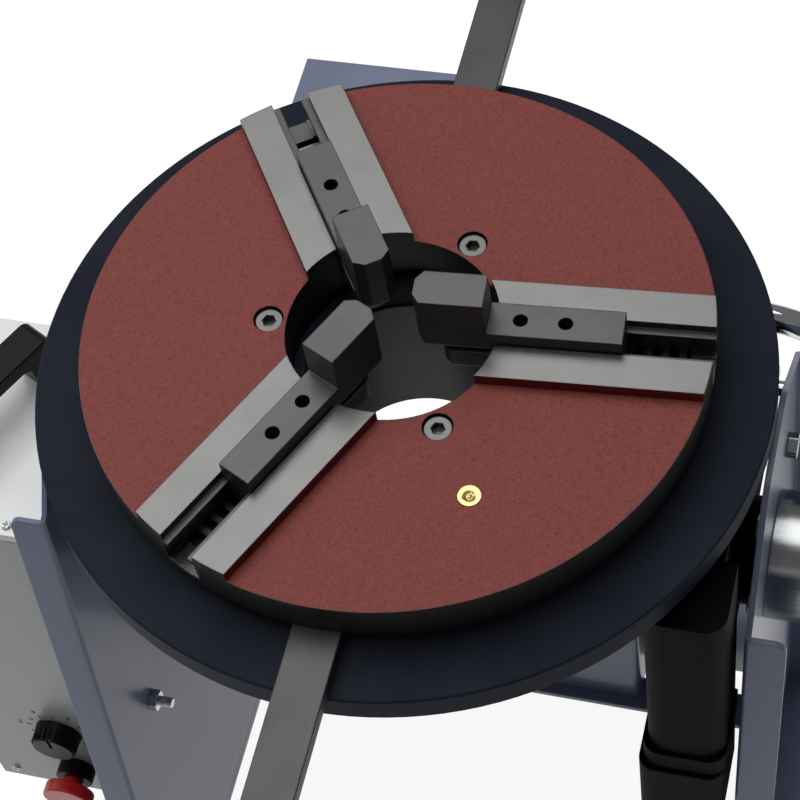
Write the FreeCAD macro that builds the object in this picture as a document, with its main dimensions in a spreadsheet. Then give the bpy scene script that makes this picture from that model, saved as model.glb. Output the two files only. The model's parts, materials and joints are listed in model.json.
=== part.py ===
"""Welding positioner: a tilting table with a three-jaw scroll chuck, a parametric document.

The origin is on the floor under the centre of the table. +Z is up, +X points to the side of the
gearbox and -Y to the operator. Lengths are in millimetres, angles in degrees.
"""
import FreeCAD
import Part
import math
import os
import Sketcher

V = FreeCAD.Vector

# Driving dimensions, written once. Each becomes an aliased cell of the sheet.
DIMENSIONS = {
    # chuck
    "land_height": 580.0, "chuck_radius": 150.0, "chuck_bore_radius": 51.0, "cast_drop": 6.5,
    "chuck_body_depth": 26.0, "chuck_seat_depth": 36.0, "hub_radius": 70.0, "way_width": 54.4,
    "way_turn": 4.0, "slot_width": 19.0, "tongue_gap": 11.6,
    "tongue_depth": 4.5, "tongue_thickness": 3.5, "recess_depth": 20.0,
    "screw_circle_radius": 60.0, "screw_head_radius": 6.5, "screw_head_length": 8.0,
    "screw_shank_radius": 4.0, "screw_sink": 1.6, "screw_length": 44.0, "oiler_reach": 100.0,
    "oiler_radius": 5.5,
    # scroll and levers
    "scroll_bore_radius": 72.0, "scroll_radius": 147.0, "scroll_pitch": 8.0, "ridge_width": 3.6,
    "ridge_height": 6.0, "spiral_start": 77.0, "spiral_turns": 7.0, "lever_width": 23.0,
    "lever_thickness": 8.4, "lever_reach": 272.0, "lever_seat": 136.0,
    # jaws
    "jaw_width": 18.0, "jaw_tip": 13.8, "jaw_block_length": 33.0, "jaw_block_rise": 28.5,
    "jaw_bar_rise": 7.5, "jaw_end": 109.0, "jaw_guide_tip": 24.0, "jaw_waist": 10.8,
    "jaw_hole_depth": 12.0,
    "jaw_hole_radius": 3.4, "jaw_hole_inner": 61.5, "jaw_hole_outer": 82.3,
    "tooth_width": 3.3, "jaw_nose_width": 8.4, "jaw_nose_length": 3.6,
    # table, spindle and its housing
    "table_radius": 178.8, "table_thickness": 16.0, "table_bore_radius": 46.0,
    "spindle_bore_radius": 45.0, "spindle_radius": 52.0, "spindle_flange_radius": 70.0,
    "spindle_flange_thickness": 10.0, "spindle_length": 84.0, "locknut_radius": 62.0,
    "locknut_thickness": 8.0, "housing_radius": 69.0, "housing_flange_radius": 88.0,
    # tilting cradle
    "tilt_height": 416.0, "trunnion_radius": 20.0, "left_trunnion_radius": 11.0,
    "collar_margin": 8.0, "collar_length": 5.0, "trunnion_reach": 210.0, "carrier_drop": 64.0,
    "carrier_thickness": 12.0, "carrier_depth": 140.0, "cheek_face": 167.0, "cheek_thickness": 12.0,
    "drive_case_width": 164.0, "drive_case_height": 46.0, "motor_radius": 30.0,
    "motor_offset": 63.0, "motor_end": 206.0, "casting_width": 33.0, "lower_block_depth": 58.0, "cheek_round": 18.0,
    "cheek_drop": 55.0, "cheek_chin": 32.0, "column_front": 104.0,
    "column_depth": 38.0, "column_top": 520.0, "column_bottom": 383.0, "worm_centre": 150.0,
    "casting_rear": 96.0, "worm_height": 380.0, "worm_case_radius": 15.0,
    "worm_shaft_radius": 9.0, "handwheel_hub_half": 12.0, "handwheel_reach": 122.0,
    "handwheel_radius": 76.0, "handwheel_rim": 7.5,
    # stand
    "plate_inner": 178.0, "plate_thickness": 3.0, "flange_width": 20.0, "foot_front": 139.0,
    "shoulder_front": 77.0, "shoulder_height": 465.0, "plate_top": 525.0, "plate_top_front": 28.0,
    "plate_top_rear": 25.0, "shoulder_rear": 85.0, "shoulder_rear_height": 474.0,
    "foot_thickness": 8.0, "foot_width": 50.0, "foot_length": 300.0, "foot_hole_radius": 7.0,
    "foot_hole_reach": 32.0,
    "foot_bolt_length": 250.0, "strip_front": 92.0, "strip_depth": 24.0, "strip_thickness": 5.0,
    "box_half_width": 85.0, "box_front": 100.0, "box_height": 150.0, "rear_panel_top": 230.0,
    "panel_inset": 8.0,
    "hub_radius_outer": 33.0, "hub_length": 29.0, "hub_bolt_circle": 27.2, "hub_bolt_radius": 3.0,
    "hub_bolt_depth": 12.0, "slim_hub_radius": 15.0, "slim_flange_reach": 40.0,
    "slim_flange_half": 13.0, "slim_flange": 9.0, "slim_bolt_reach": 31.0, "hex_radius": 6.6,
    "hex_length": 5.5, "stop_bolt_rear": 41.0, "stop_bolt_rise": 39.0, "strap_bolt_front": 59.0,
    "strap_bolt_height": 225.0,
    # control cabinet
    "cabinet_width": 122.0, "cabinet_front": 75.0, "cabinet_rear": 62.0, "cabinet_rise": 20.0,
    "cabinet_bottom": 100.0, "cabinet_gap": 3.0, "cabinet_wall": 4.0, "handle_length": 100.0,
    "handle_rise": 34.0, "handle_width": 24.0, "handle_thickness": 10.0, "handle_inset": 41.0,
    "handle_leg": 20.0,
    "controls_height": 135.0, "controls_pitch": 52.0, "stop_button_radius": 16.0,
    "stop_button_travel": 4.0, "stop_stem_radius": 6.0, "knob_radius": 15.0,
    # clearances
    "running_gap": 0.3, "shaft_gap": 0.05, "slide_gap": 0.4,
}

doc = FreeCAD.newDocument("welding_positioner")
sheet = doc.addObject("Spreadsheet::Sheet", "Sizes")


class Size:
    """A number that remembers the sheet expression it comes from."""

    def __init__(self, value, text):
        self.value = float(value)
        self.text = text

    def join(self, other, sign, value):
        return Size(value, "(%s %s %s)" % (self.text, sign, size_of(other).text))

    def __add__(self, other):
        return self.join(other, "+", self.value + size_of(other).value)

    def __sub__(self, other):
        return self.join(other, "-", self.value - size_of(other).value)

    def __mul__(self, other):
        return self.join(other, "*", self.value * size_of(other).value)

    def __truediv__(self, other):
        return self.join(other, "/", self.value / size_of(other).value)

    def __radd__(self, other):
        return size_of(other) + self

    def __rsub__(self, other):
        return size_of(other) - self

    def __rmul__(self, other):
        return size_of(other) * self

    def __neg__(self):
        return size_of(0) - self


def size_of(number):
    return number if isinstance(number, Size) else Size(number, repr(float(number)))


class Sizes:
    """The sheet's cells by name."""


S = Sizes()
for row, (alias, number) in enumerate(DIMENSIONS.items(), start=1):
    sheet.set("A%d" % row, alias)
    sheet.set("B%d" % row, str(number))
    sheet.setAlias("B%d" % row, alias)
    setattr(S, alias, Size(number, "Sizes.%s" % alias))
doc.recompute()

SUBPARTS = []


def name_part(obj, label):
    """Give a finished sub-part its own name."""
    obj.Label = label
    SUBPARTS.append(obj)
    return obj


def bind(obj, **settings):
    """Bind properties to sheet expressions; Base_x stands for Placement.Base.x."""
    for key, number in settings.items():
        path = key.replace("Base_", "Placement.Base.")
        obj.setExpression(path, size_of(number).text)
    return obj


def place(obj, x=0, y=0, z=0):
    return bind(obj, Base_x=x, Base_y=y, Base_z=z)


# ---- primitives and booleans ---------------------------------------------------------------

TURN_TO_AXIS = {
    "z": FreeCAD.Rotation(),
    "x": FreeCAD.Rotation(V(0, 1, 0), 90),
    "y": FreeCAD.Rotation(V(1, 0, 0), -90),
}


def block(name, low, high):
    """A box between two corners."""
    obj = doc.addObject("Part::Box", name)
    low = [size_of(number) for number in low]
    high = [size_of(number) for number in high]
    bind(obj, Length=high[0] - low[0], Width=high[1] - low[1], Height=high[2] - low[2])
    return place(obj, *low)


def rod(name, radius, length, start, axis="z"):
    """A cylinder from its start point along +x, +y or +z."""
    obj = doc.addObject("Part::Cylinder", name)
    obj.Placement = FreeCAD.Placement(V(), TURN_TO_AXIS[axis])
    bind(obj, Radius=radius, Height=length)
    return place(obj, *start)


def cone(name, radius_low, radius_high, length, start, axis="z"):
    obj = doc.addObject("Part::Cone", name)
    obj.Placement = FreeCAD.Placement(V(), TURN_TO_AXIS[axis])
    bind(obj, Radius1=radius_low, Radius2=radius_high, Height=length)
    return place(obj, *start)


def prism(name, sides, radius, length, start, axis="z"):
    """A regular prism, such as a hexagon head; radius is across the corners."""
    obj = doc.addObject("Part::Prism", name)
    obj.Polygon = sides
    obj.Placement = FreeCAD.Placement(V(), TURN_TO_AXIS[axis])
    bind(obj, Circumradius=radius, Height=length)
    return place(obj, *start)


def fuse(name, shapes):
    obj = doc.addObject("Part::MultiFuse", name)
    obj.Shapes = shapes
    obj.Refine = True
    return obj


def cut(name, base, tools):
    obj = doc.addObject("Part::Cut", name)
    obj.Base = base
    obj.Tool = tools[0] if len(tools) == 1 else fuse(name + "_tools", tools)
    obj.Refine = True
    return obj


def common(name, shapes):
    obj = doc.addObject("Part::MultiCommon", name)
    obj.Shapes = shapes
    return obj


def together(name, shapes):
    """Separate solids kept as one sub-part."""
    obj = doc.addObject("Part::Compound", name)
    obj.Links = shapes
    return obj


def turned(name, source, angle, centre=(0, 0, 0)):
    """A copy of an object's shape turned about a vertical line."""
    doc.recompute()
    obj = doc.addObject("Part::Feature", name)
    shape = source.Shape.copy()
    shape.rotate(V(*centre), V(0, 0, 1), angle)
    obj.Shape = shape
    return obj


def edges_where(shape, test):
    return [index for index, edge in enumerate(shape.Edges, start=1) if test(edge)]


def along(edge, direction):
    """True for a straight edge parallel to a direction."""
    if len(edge.Vertexes) != 2 or edge.Curve.TypeId != "Part::GeomLine":
        return False
    return abs(abs(edge.Curve.Direction.dot(V(*direction))) - 1) < 1e-6


def rounded(name, base, radius, test):
    """Round the edges that pass a test."""
    doc.recompute()
    obj = doc.addObject("Part::Fillet", name)
    obj.Base = base
    reach = size_of(radius).value
    obj.Edges = [(index, reach, reach) for index in edges_where(base.Shape, test)]
    return obj


# ---- bodies with sketches ------------------------------------------------------------------

def body_named(name):
    return doc.addObject("PartDesign::Body", name)


def origin_plane(body, role):
    return [item for item in body.Origin.OriginFeatures if item.Role == role][0]


def new_sketch(body, name, role, offset=0):
    sketch = body.newObject("Sketcher::SketchObject", name)
    sketch.AttachmentSupport = [(origin_plane(body, role), "")]
    sketch.MapMode = "FlatFace"
    sketch.setExpression("AttachmentOffset.Base.z", size_of(offset).text)
    return sketch


def hold(sketch, kind, first, number, name):
    """Add a driving distance whose value comes from the sheet."""
    index = sketch.addConstraint(Sketcher.Constraint(kind, *first, number.value))
    sketch.renameConstraint(index, name)
    sketch.setExpression("Constraints.%s" % name, number.text)


def pin_point(sketch, geometry, corner, x, y, name):
    """Hold a point at (x, y) from the sketch origin."""
    for kind, axis, number in (("DistanceX", -2, size_of(x)), ("DistanceY", -1, size_of(y))):
        if abs(number.value) < 1e-9:
            sketch.addConstraint(Sketcher.Constraint("PointOnObject", geometry, corner, axis))
        else:
            hold(sketch, kind, (-1, 1, geometry, corner), number, name + kind[-1].lower())


def outline(sketch, points, name="p"):
    """A closed polygon whose corners come from the sheet."""
    spots = [V(size_of(x).value, size_of(y).value, 0) for x, y in points]
    first = sketch.GeometryCount
    count = len(spots)
    for index in range(count):
        sketch.addGeometry(Part.LineSegment(spots[index], spots[(index + 1) % count]), False)
    for index in range(count):
        following = first + (index + 1) % count
        sketch.addConstraint(Sketcher.Constraint("Coincident", first + index, 2, following, 1))
    for index, (x, y) in enumerate(points):
        pin_point(sketch, first + index, 1, x, y, "%s%d" % (name, index))
    return sketch


def ring_line(sketch, x, y, radius, name="c"):
    """A circle whose centre and radius come from the sheet."""
    centre = V(size_of(x).value, size_of(y).value, 0)
    index = sketch.addGeometry(Part.Circle(centre, V(0, 0, 1), size_of(radius).value), False)
    pin_point(sketch, index, 3, x, y, name)
    hold(sketch, "Radius", (index,), size_of(radius), name + "r")
    return sketch


def pad(body, name, sketch, length, middle=False, reverse=False):
    feature = body.newObject("PartDesign::Pad", name)
    feature.Profile = (sketch, [""])
    feature.setExpression("Length", size_of(length).text)
    feature.Midplane = middle
    feature.Reversed = reverse
    sketch.Visibility = False
    return feature


def pocket(body, name, sketch, length, middle=False, reverse=False):
    """Cut a sketch away and make sure that something was cut."""
    doc.recompute()
    before = body.Shape.Volume
    feature = body.newObject("PartDesign::Pocket", name)
    feature.Profile = (sketch, [""])
    feature.setExpression("Length", size_of(length).text)
    feature.Midplane = middle
    feature.Reversed = reverse
    doc.recompute()
    if not body.Shape.Volume < before - 1e-6:
        raise RuntimeError("the pocket %s cuts nothing" % name)
    return feature


def revolve(body, name, sketch, axis_role="Z_Axis"):
    feature = body.newObject("PartDesign::Revolution", name)
    feature.Profile = (sketch, [""])
    axis = [item for item in body.Origin.OriginFeatures if item.Role == axis_role][0]
    feature.ReferenceAxis = (axis, [""])
    feature.Angle = 360
    return feature


def round_body(body, name, radius, test, kind="PartDesign::Fillet", prop="Radius"):
    """Round (or chamfer) the edges of the body's tip that pass a test."""
    doc.recompute()
    tip = body.Tip
    feature = body.newObject(kind, name)
    feature.Base = (tip, ["Edge%d" % index for index in edges_where(tip.Shape, test)])
    feature.setExpression("Radius" if prop == "Radius" else "Size", size_of(radius).text)
    return feature


def chamfer_body(body, name, width, test):
    return round_body(body, name, width, test, "PartDesign::Chamfer", "Size")


def turned_piece(label, profile):
    """A body of revolution about the vertical axis; the profile is (radius, height) corners."""
    body = body_named(label)
    sketch = outline(new_sketch(body, label + "_profile", "XZ_Plane"), profile)
    revolve(body, label + "_turn", sketch)
    return body


def circle_at(edge, radius, tolerance=1e-4):
    curve = edge.Curve
    return curve.TypeId == "Part::GeomCircle" and abs(curve.Radius - radius) < tolerance


# ---- heights that several pieces share -----------------------------------------------------

LAND = S.land_height
CAST_FACE = LAND - S.cast_drop
BODY_FLOOR = LAND - S.chuck_body_depth
TABLE_TOP = LAND - S.chuck_seat_depth
TABLE_FLOOR = TABLE_TOP - S.table_thickness
RECESS_ROOF = LAND - S.recess_depth
RECESS_RADIUS = S.spiral_start + S.scroll_pitch * S.spiral_turns + S.ridge_width + 1.5
SCROLL_TOP = BODY_FLOOR - S.running_gap
SCROLL_FLOOR = TABLE_TOP + S.running_gap
JAW_FLOOR = RECESS_ROOF + S.running_gap
TONGUE_TOP = LAND - S.tongue_depth
TONGUE_FLOOR = TONGUE_TOP - S.tongue_thickness
WAY_ANGLES = [S.way_turn.value + 120 * index for index in range(3)]
SCREW_ANGLES = [angle + 60 for angle in WAY_ANGLES]


def around(name, source, angles):
    return [turned("%s_%d" % (name, index), source, angle) for index, angle in enumerate(angles)]


# ---- chuck ---------------------------------------------------------------------------------

def make_chuck_body():
    """Cast body with three raised ground ways, T-shaped slots and a recess for the scroll."""
    core = turned_piece("chuck_core", [
        (S.chuck_bore_radius, TABLE_TOP), (S.hub_radius, TABLE_TOP), (S.hub_radius, RECESS_ROOF),
        (RECESS_RADIUS, RECESS_ROOF), (RECESS_RADIUS, BODY_FLOOR), (S.chuck_radius, BODY_FLOOR),
        (S.chuck_radius, CAST_FACE), (S.chuck_bore_radius, CAST_FACE)])
    half_way = S.way_width / 2
    way = block("way_block", (S.chuck_bore_radius - 10, -half_way, CAST_FACE - 1),
                (S.chuck_radius + 5, half_way, LAND))
    disc = rod("way_disc", S.chuck_radius, S.cast_drop + 1, (0, 0, CAST_FACE - 1))
    bore = rod("way_bore", S.chuck_bore_radius, S.cast_drop + 1, (0, 0, CAST_FACE - 1))
    ring = cut("way_ring", disc, [bore])
    pads = common("way_pads", [ring, fuse("way_blocks", around("way", way, WAY_ANGLES))])
    inside = S.chuck_bore_radius - 10
    slot = S.slot_width / 2
    gap = S.tongue_gap / 2
    outside = S.chuck_radius + 5
    groove = block("slot_groove", (inside, -slot, TONGUE_TOP), (outside, slot, LAND + 1))
    throat = block("slot_throat", (inside, -gap, RECESS_ROOF - 1), (outside, gap, LAND + 1))
    keyway = block("slot_keyway", (inside, -slot, RECESS_ROOF), (outside, slot, TONGUE_FLOOR))
    slots = around("slot", fuse("slot_tool", [groove, throat, keyway]), WAY_ANGLES)
    head = rod("counterbore", S.screw_head_radius + 0.75, S.screw_head_length + 20,
               (S.screw_circle_radius, 0, CAST_FACE - S.screw_sink - S.screw_head_length))
    shank = rod("screw_hole", S.screw_shank_radius + 0.2, 60,
                (S.screw_circle_radius, 0, TABLE_TOP - 10))
    holes = around("hole", fuse("hole_tool", [head, shank]), SCREW_ANGLES)
    oiler = rod("oiler_hole", S.oiler_radius, 7, (S.oiler_reach, 0, CAST_FACE - 6))
    oilers = [turned("oiler_hole_turned", oiler, SCREW_ANGLES[2])]
    blank = fuse("chuck_blank", [core, pads])
    return name_part(cut("chuck_casting", blank, slots + holes + oilers), "chuck_body")


def make_chuck_screws():
    """Three socket head cap screws."""
    top = CAST_FACE - S.screw_sink
    head_floor = top - S.screw_head_length
    head = rod("cap_head", S.screw_head_radius, S.screw_head_length,
               (S.screw_circle_radius, 0, head_floor))
    socket = prism("cap_socket", 6, 3.46, 5, (S.screw_circle_radius, 0, top - 4.5))
    shank = rod("cap_shank", S.screw_shank_radius, S.screw_length - S.screw_head_length,
                (S.screw_circle_radius, 0, top - S.screw_length))
    screw = fuse("cap_screw", [cut("cap_drilled", head, [socket]), shank])
    copies = around("cap", screw, SCREW_ANGLES)
    return name_part(together("cap_screws", copies), "chuck_cap_screws")


def make_oiler():
    """Brass ball oiler pressed into the casting."""
    cup = rod("oiler_cup", S.oiler_radius, 6.4, (S.oiler_reach, 0, CAST_FACE - 6))
    mouth = cone("oiler_mouth", 1.2, 3.4, 1.2, (S.oiler_reach, 0, CAST_FACE - 0.6))
    ball = doc.addObject("Part::Sphere", "oiler_ball")
    bind(ball, Radius=1.6, Base_x=S.oiler_reach, Base_z=CAST_FACE - 1.4)
    oiler = fuse("oiler_whole", [cut("oiler_dished", cup, [mouth]), ball])
    return name_part(turned("oiler", oiler, SCREW_ANGLES[2]), "ball_oiler")


def spiral_wire(start, pitch, turns, height):
    """An Archimedean spiral through evenly spaced points."""
    steps = int(turns * 24)
    points = []
    for step in range(steps + 1):
        angle = 2 * math.pi * turns * step / steps
        radius = start + pitch * angle / (2 * math.pi)
        points.append(V(radius * math.cos(angle), -radius * math.sin(angle), height))
    curve = Part.BSplineCurve()
    curve.interpolate(points)
    return curve.toShape()


def make_scroll():
    """Flat scroll: a ring whose face carries one spiral thread for the three jaws."""
    floor = SCROLL_TOP.value - 1.0
    pitch = S.scroll_pitch.value
    turns = S.spiral_turns.value
    inner = spiral_wire(S.spiral_start.value, pitch, turns, floor)
    outer = spiral_wire(S.spiral_start.value + S.ridge_width.value, pitch, turns, floor)
    ends = [Part.LineSegment(inner.Vertexes[index].Point, outer.Vertexes[index].Point).toShape()
            for index in (0, 1)]
    wire = Part.Wire(Part.__sortEdges__([inner, ends[1], outer, ends[0]]))
    thread = Part.Face(wire).extrude(V(0, 0, S.ridge_height.value + 1.0))
    thread.rotate(V(), V(0, 0, 1), WAY_ANGLES[0])
    ridge = doc.addObject("Part::Feature", "scroll_thread")
    ridge.Shape = thread
    plate = rod("scroll_blank", S.scroll_radius, SCROLL_TOP - SCROLL_FLOOR, (0, 0, SCROLL_FLOOR))
    bore = rod("scroll_bore", S.scroll_bore_radius, 40, (0, 0, SCROLL_FLOOR - 5))
    half = S.lever_width / 2
    seats = [block("lever_seat_rear", (-half, S.lever_seat, SCROLL_FLOOR - 1),
                   (half, S.scroll_radius + 5, SCROLL_TOP + 1)),
             block("lever_seat_front", (-half, -S.scroll_radius - 5, SCROLL_FLOOR - 1),
                   (half, -S.lever_seat, SCROLL_TOP + 1))]
    ring = cut("scroll_ring", plate, [bore] + seats)
    return name_part(fuse("scroll_whole", [ring, ridge]), "scroll_plate")


def make_lever(label, sign):
    """Flat bar that turns the scroll, with its outer corners rounded."""
    half = S.lever_width / 2
    floor = (SCROLL_TOP + SCROLL_FLOOR - S.lever_thickness) / 2
    near = S.lever_seat if sign > 0 else -S.lever_reach
    far = S.lever_reach if sign > 0 else -S.lever_seat
    bar = block(label + "_bar", (-half, near, floor), (half, far, floor + S.lever_thickness))
    tip = sign * S.lever_reach.value
    lever = rounded(label + "_rounded", bar, 5, lambda edge: along(edge, (0, 0, 1))
                    and abs(edge.Vertexes[0].Y - tip) < 0.01)
    return name_part(lever, label)


def make_jaw(index):
    """Hard jaw: gripping block, bar with two tapped holes, guide grooves and scroll teeth."""
    label = "jaw_%d" % (index + 1)
    half = S.jaw_width / 2
    block_end = S.jaw_tip + S.jaw_block_length
    groove_roof = TONGUE_TOP + S.slide_gap
    body = body_named(label + "_form")
    side = outline(new_sketch(body, label + "_side", "XZ_Plane"), [
        (S.jaw_guide_tip, JAW_FLOOR), (S.jaw_end, JAW_FLOOR), (S.jaw_end, LAND + S.jaw_bar_rise),
        (block_end, LAND + S.jaw_bar_rise), (block_end, LAND + S.jaw_block_rise),
        (S.jaw_tip, LAND + S.jaw_block_rise), (S.jaw_tip, groove_roof),
        (S.jaw_guide_tip, groove_roof)])
    pad(body, label + "_blank", side, S.jaw_width, middle=True)
    tip = S.jaw_guide_tip.value
    round_body(body, label + "_guide_tip", S.jaw_width / 2 - 1,
               lambda edge: along(edge, (0, 0, 1)) and abs(edge.Vertexes[0].X - tip) < 0.01)
    plan = body_named(label + "_plan")
    nose = S.jaw_nose_width / 2
    seen = outline(new_sketch(plan, label + "_plan_lines", "XY_Plane", JAW_FLOOR - 1), [
        (S.jaw_tip, -nose), (S.jaw_tip + S.jaw_nose_length, -half), (S.jaw_end, -half),
        (S.jaw_end, half), (S.jaw_tip + S.jaw_nose_length, half), (S.jaw_tip, nose)])
    pad(plan, label + "_column", seen, S.recess_depth + S.jaw_block_rise + 2)
    form = common(label + "_common", [body, plan])
    waist = S.jaw_waist / 2
    groove_floor = TONGUE_FLOOR - S.slide_gap
    cuts = [block(label + "_groove_left", (0, waist, groove_floor),
                  (S.jaw_end + 1, half + 1, groove_roof)),
            block(label + "_groove_right", (0, -half - 1, groove_floor),
                  (S.jaw_end + 1, -waist, groove_roof))]
    for number, reach in enumerate((S.jaw_hole_inner, S.jaw_hole_outer)):
        cuts.append(rod("%s_hole_%d" % (label, number), S.jaw_hole_radius, 40,
                        (reach, 0, LAND - S.jaw_hole_depth)))
    tooth_floor = SCROLL_TOP + S.slide_gap
    first = S.spiral_start + S.ridge_width + (S.scroll_pitch - S.ridge_width) / 2
    shift = S.scroll_pitch * ((3 - index) % 3) / 3
    teeth = []
    for number in range(5):
        middle = first + shift + S.scroll_pitch * number
        room = S.jaw_end.value - S.tooth_width.value / 2
        if not S.spiral_start.value + 7 < middle.value < room:
            continue
        name = "%s_tooth_%d" % (label, number)
        outer = rod(name + "_outer", middle + S.tooth_width / 2, JAW_FLOOR - tooth_floor + 1,
                    (0, 0, tooth_floor))
        inner = rod(name + "_inner", middle - S.tooth_width / 2, 20, (0, 0, tooth_floor - 5))
        sector = block(name + "_sector", (20, -half + 0.5, tooth_floor - 5),
                       (S.jaw_end + 5, half - 0.5, JAW_FLOOR + 5))
        teeth.append(common(name, [cut(name + "_ring", outer, [inner]), sector]))
    jaw = fuse(label + "_whole", [cut(label + "_cut", form, cuts)] + teeth)
    return name_part(turned(label + "_set", jaw, WAY_ANGLES[index]), label)


# ---- table and spindle ---------------------------------------------------------------------

def make_table():
    """Round steel table plate."""
    half = 0.8
    table = turned_piece("table_plate_form", [
        (S.table_bore_radius, TABLE_FLOOR), (S.table_radius - half, TABLE_FLOOR),
        (S.table_radius, TABLE_FLOOR + half), (S.table_radius, TABLE_TOP - half),
        (S.table_radius - half, TABLE_TOP), (S.table_bore_radius, TABLE_TOP)])
    hole = rod("table_hole", S.screw_shank_radius, 60, (S.screw_circle_radius, 0, TABLE_FLOOR - 20))
    holes = around("table_hole", hole, SCREW_ANGLES)
    return name_part(cut("table_drilled", table, holes), "table_plate")


SPINDLE_FLANGE_FLOOR = TABLE_FLOOR - S.spindle_flange_thickness
HOUSING_TOP = SPINDLE_FLANGE_FLOOR - 0.5
SPINDLE_END = TABLE_FLOOR - S.spindle_length
HOUSING_FLOOR = SPINDLE_END + S.locknut_thickness + 0.5
CARRIER_TOP = LAND - S.carrier_drop
CARRIER_FLOOR = CARRIER_TOP - S.carrier_thickness


def make_spindle():
    """Hollow spindle with the flange that carries the table."""
    spindle = turned_piece("spindle_form", [
        (S.spindle_bore_radius, SPINDLE_END), (S.spindle_radius, SPINDLE_END),
        (S.spindle_radius, SPINDLE_FLANGE_FLOOR), (S.spindle_flange_radius, SPINDLE_FLANGE_FLOOR),
        (S.spindle_flange_radius, TABLE_FLOOR), (S.spindle_bore_radius, TABLE_FLOOR)])
    hole = rod("spindle_hole", S.screw_shank_radius + 1, 60,
               (S.screw_circle_radius, 0, TABLE_FLOOR - 20))
    return name_part(cut("spindle_drilled", spindle, around("spindle_hole", hole, SCREW_ANGLES)),
                     "hollow_spindle")


def make_locknut():
    """Slotted ring nut that keeps the spindle in its housing."""
    top = SPINDLE_END + S.locknut_thickness
    nut = turned_piece("locknut_form", [
        (S.spindle_radius, SPINDLE_END), (S.locknut_radius, SPINDLE_END),
        (S.locknut_radius, top), (S.spindle_radius, top)])
    slot = block("locknut_slot", (S.locknut_radius - 4, -3, SPINDLE_END - 1),
                 (S.locknut_radius + 2, 3, top + 1))
    slots = around("locknut_slot", slot, [45, 135, 225, 315])
    return name_part(cut("locknut_slotted", nut, slots), "spindle_locknut")


# ---- tilting cradle ------------------------------------------------------------------------

def make_housing():
    """Bearing housing with the flange that bolts under the carrier plate."""
    bore = S.spindle_radius + S.shaft_gap
    housing = turned_piece("housing_form", [
        (bore, HOUSING_FLOOR), (S.housing_radius, HOUSING_FLOOR),
        (S.housing_radius, CARRIER_FLOOR - 10), (S.housing_flange_radius, CARRIER_FLOOR - 10),
        (S.housing_flange_radius, CARRIER_FLOOR), (S.housing_radius, CARRIER_FLOOR),
        (S.housing_radius, HOUSING_TOP), (bore, HOUSING_TOP)])
    return name_part(housing, "spindle_housing")


def make_carrier():
    """Carrier plate across the cradle, with the housing through its middle."""
    half = S.carrier_depth / 2
    body = body_named("carrier_form")
    lines = outline(new_sketch(body, "carrier_lines", "XY_Plane", CARRIER_FLOOR), [
        (-CHEEK_INNER, -half), (CASTING_INNER, -half), (CASTING_INNER, half), (-CHEEK_INNER, half)])
    ring_line(lines, 0, 0, S.housing_radius)
    pad(body, "carrier_pad", lines, S.carrier_thickness)
    return name_part(body, "carrier_plate")


CHEEK_INNER = S.cheek_face - S.cheek_thickness
CASTING_INNER = S.cheek_face - S.casting_width


def make_cheek():
    """Left cheek of the cradle, with rounded lower corners."""
    half = S.carrier_depth / 2
    low = S.tilt_height - S.cheek_drop
    chin = S.cheek_chin
    body = body_named("cheek_form")
    lines = outline(new_sketch(body, "cheek_lines", "YZ_Plane", -S.cheek_face), [
        (-half, CARRIER_TOP), (-half, S.tilt_height), (-chin, low), (chin, low),
        (half, S.tilt_height), (half, CARRIER_TOP)])
    pad(body, "cheek_pad", lines, S.cheek_thickness)
    round_body(body, "cheek_round", S.cheek_round, lambda edge: along(edge, (1, 0, 0))
               and edge.Vertexes[0].Z < S.tilt_height.value + 1)
    return name_part(body, "left_cheek")


def make_trunnion(label, side):
    """Shoulder shaft that carries one side of the cradle."""
    inner = S.cheek_face
    length = S.trunnion_reach - inner
    start = inner if side > 0 else -S.trunnion_reach
    radius = trunnion_radius(side)
    shaft = rod(label + "_shaft", radius, length, (start, 0, S.tilt_height), "x")
    margin = S.collar_margin
    collar_start = inner if side > 0 else -inner - S.collar_length
    collar = rod(label + "_collar", radius + margin, S.collar_length,
                 (collar_start, 0, S.tilt_height), "x")
    return name_part(fuse(label + "_whole", [shaft, collar]), label)


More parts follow.
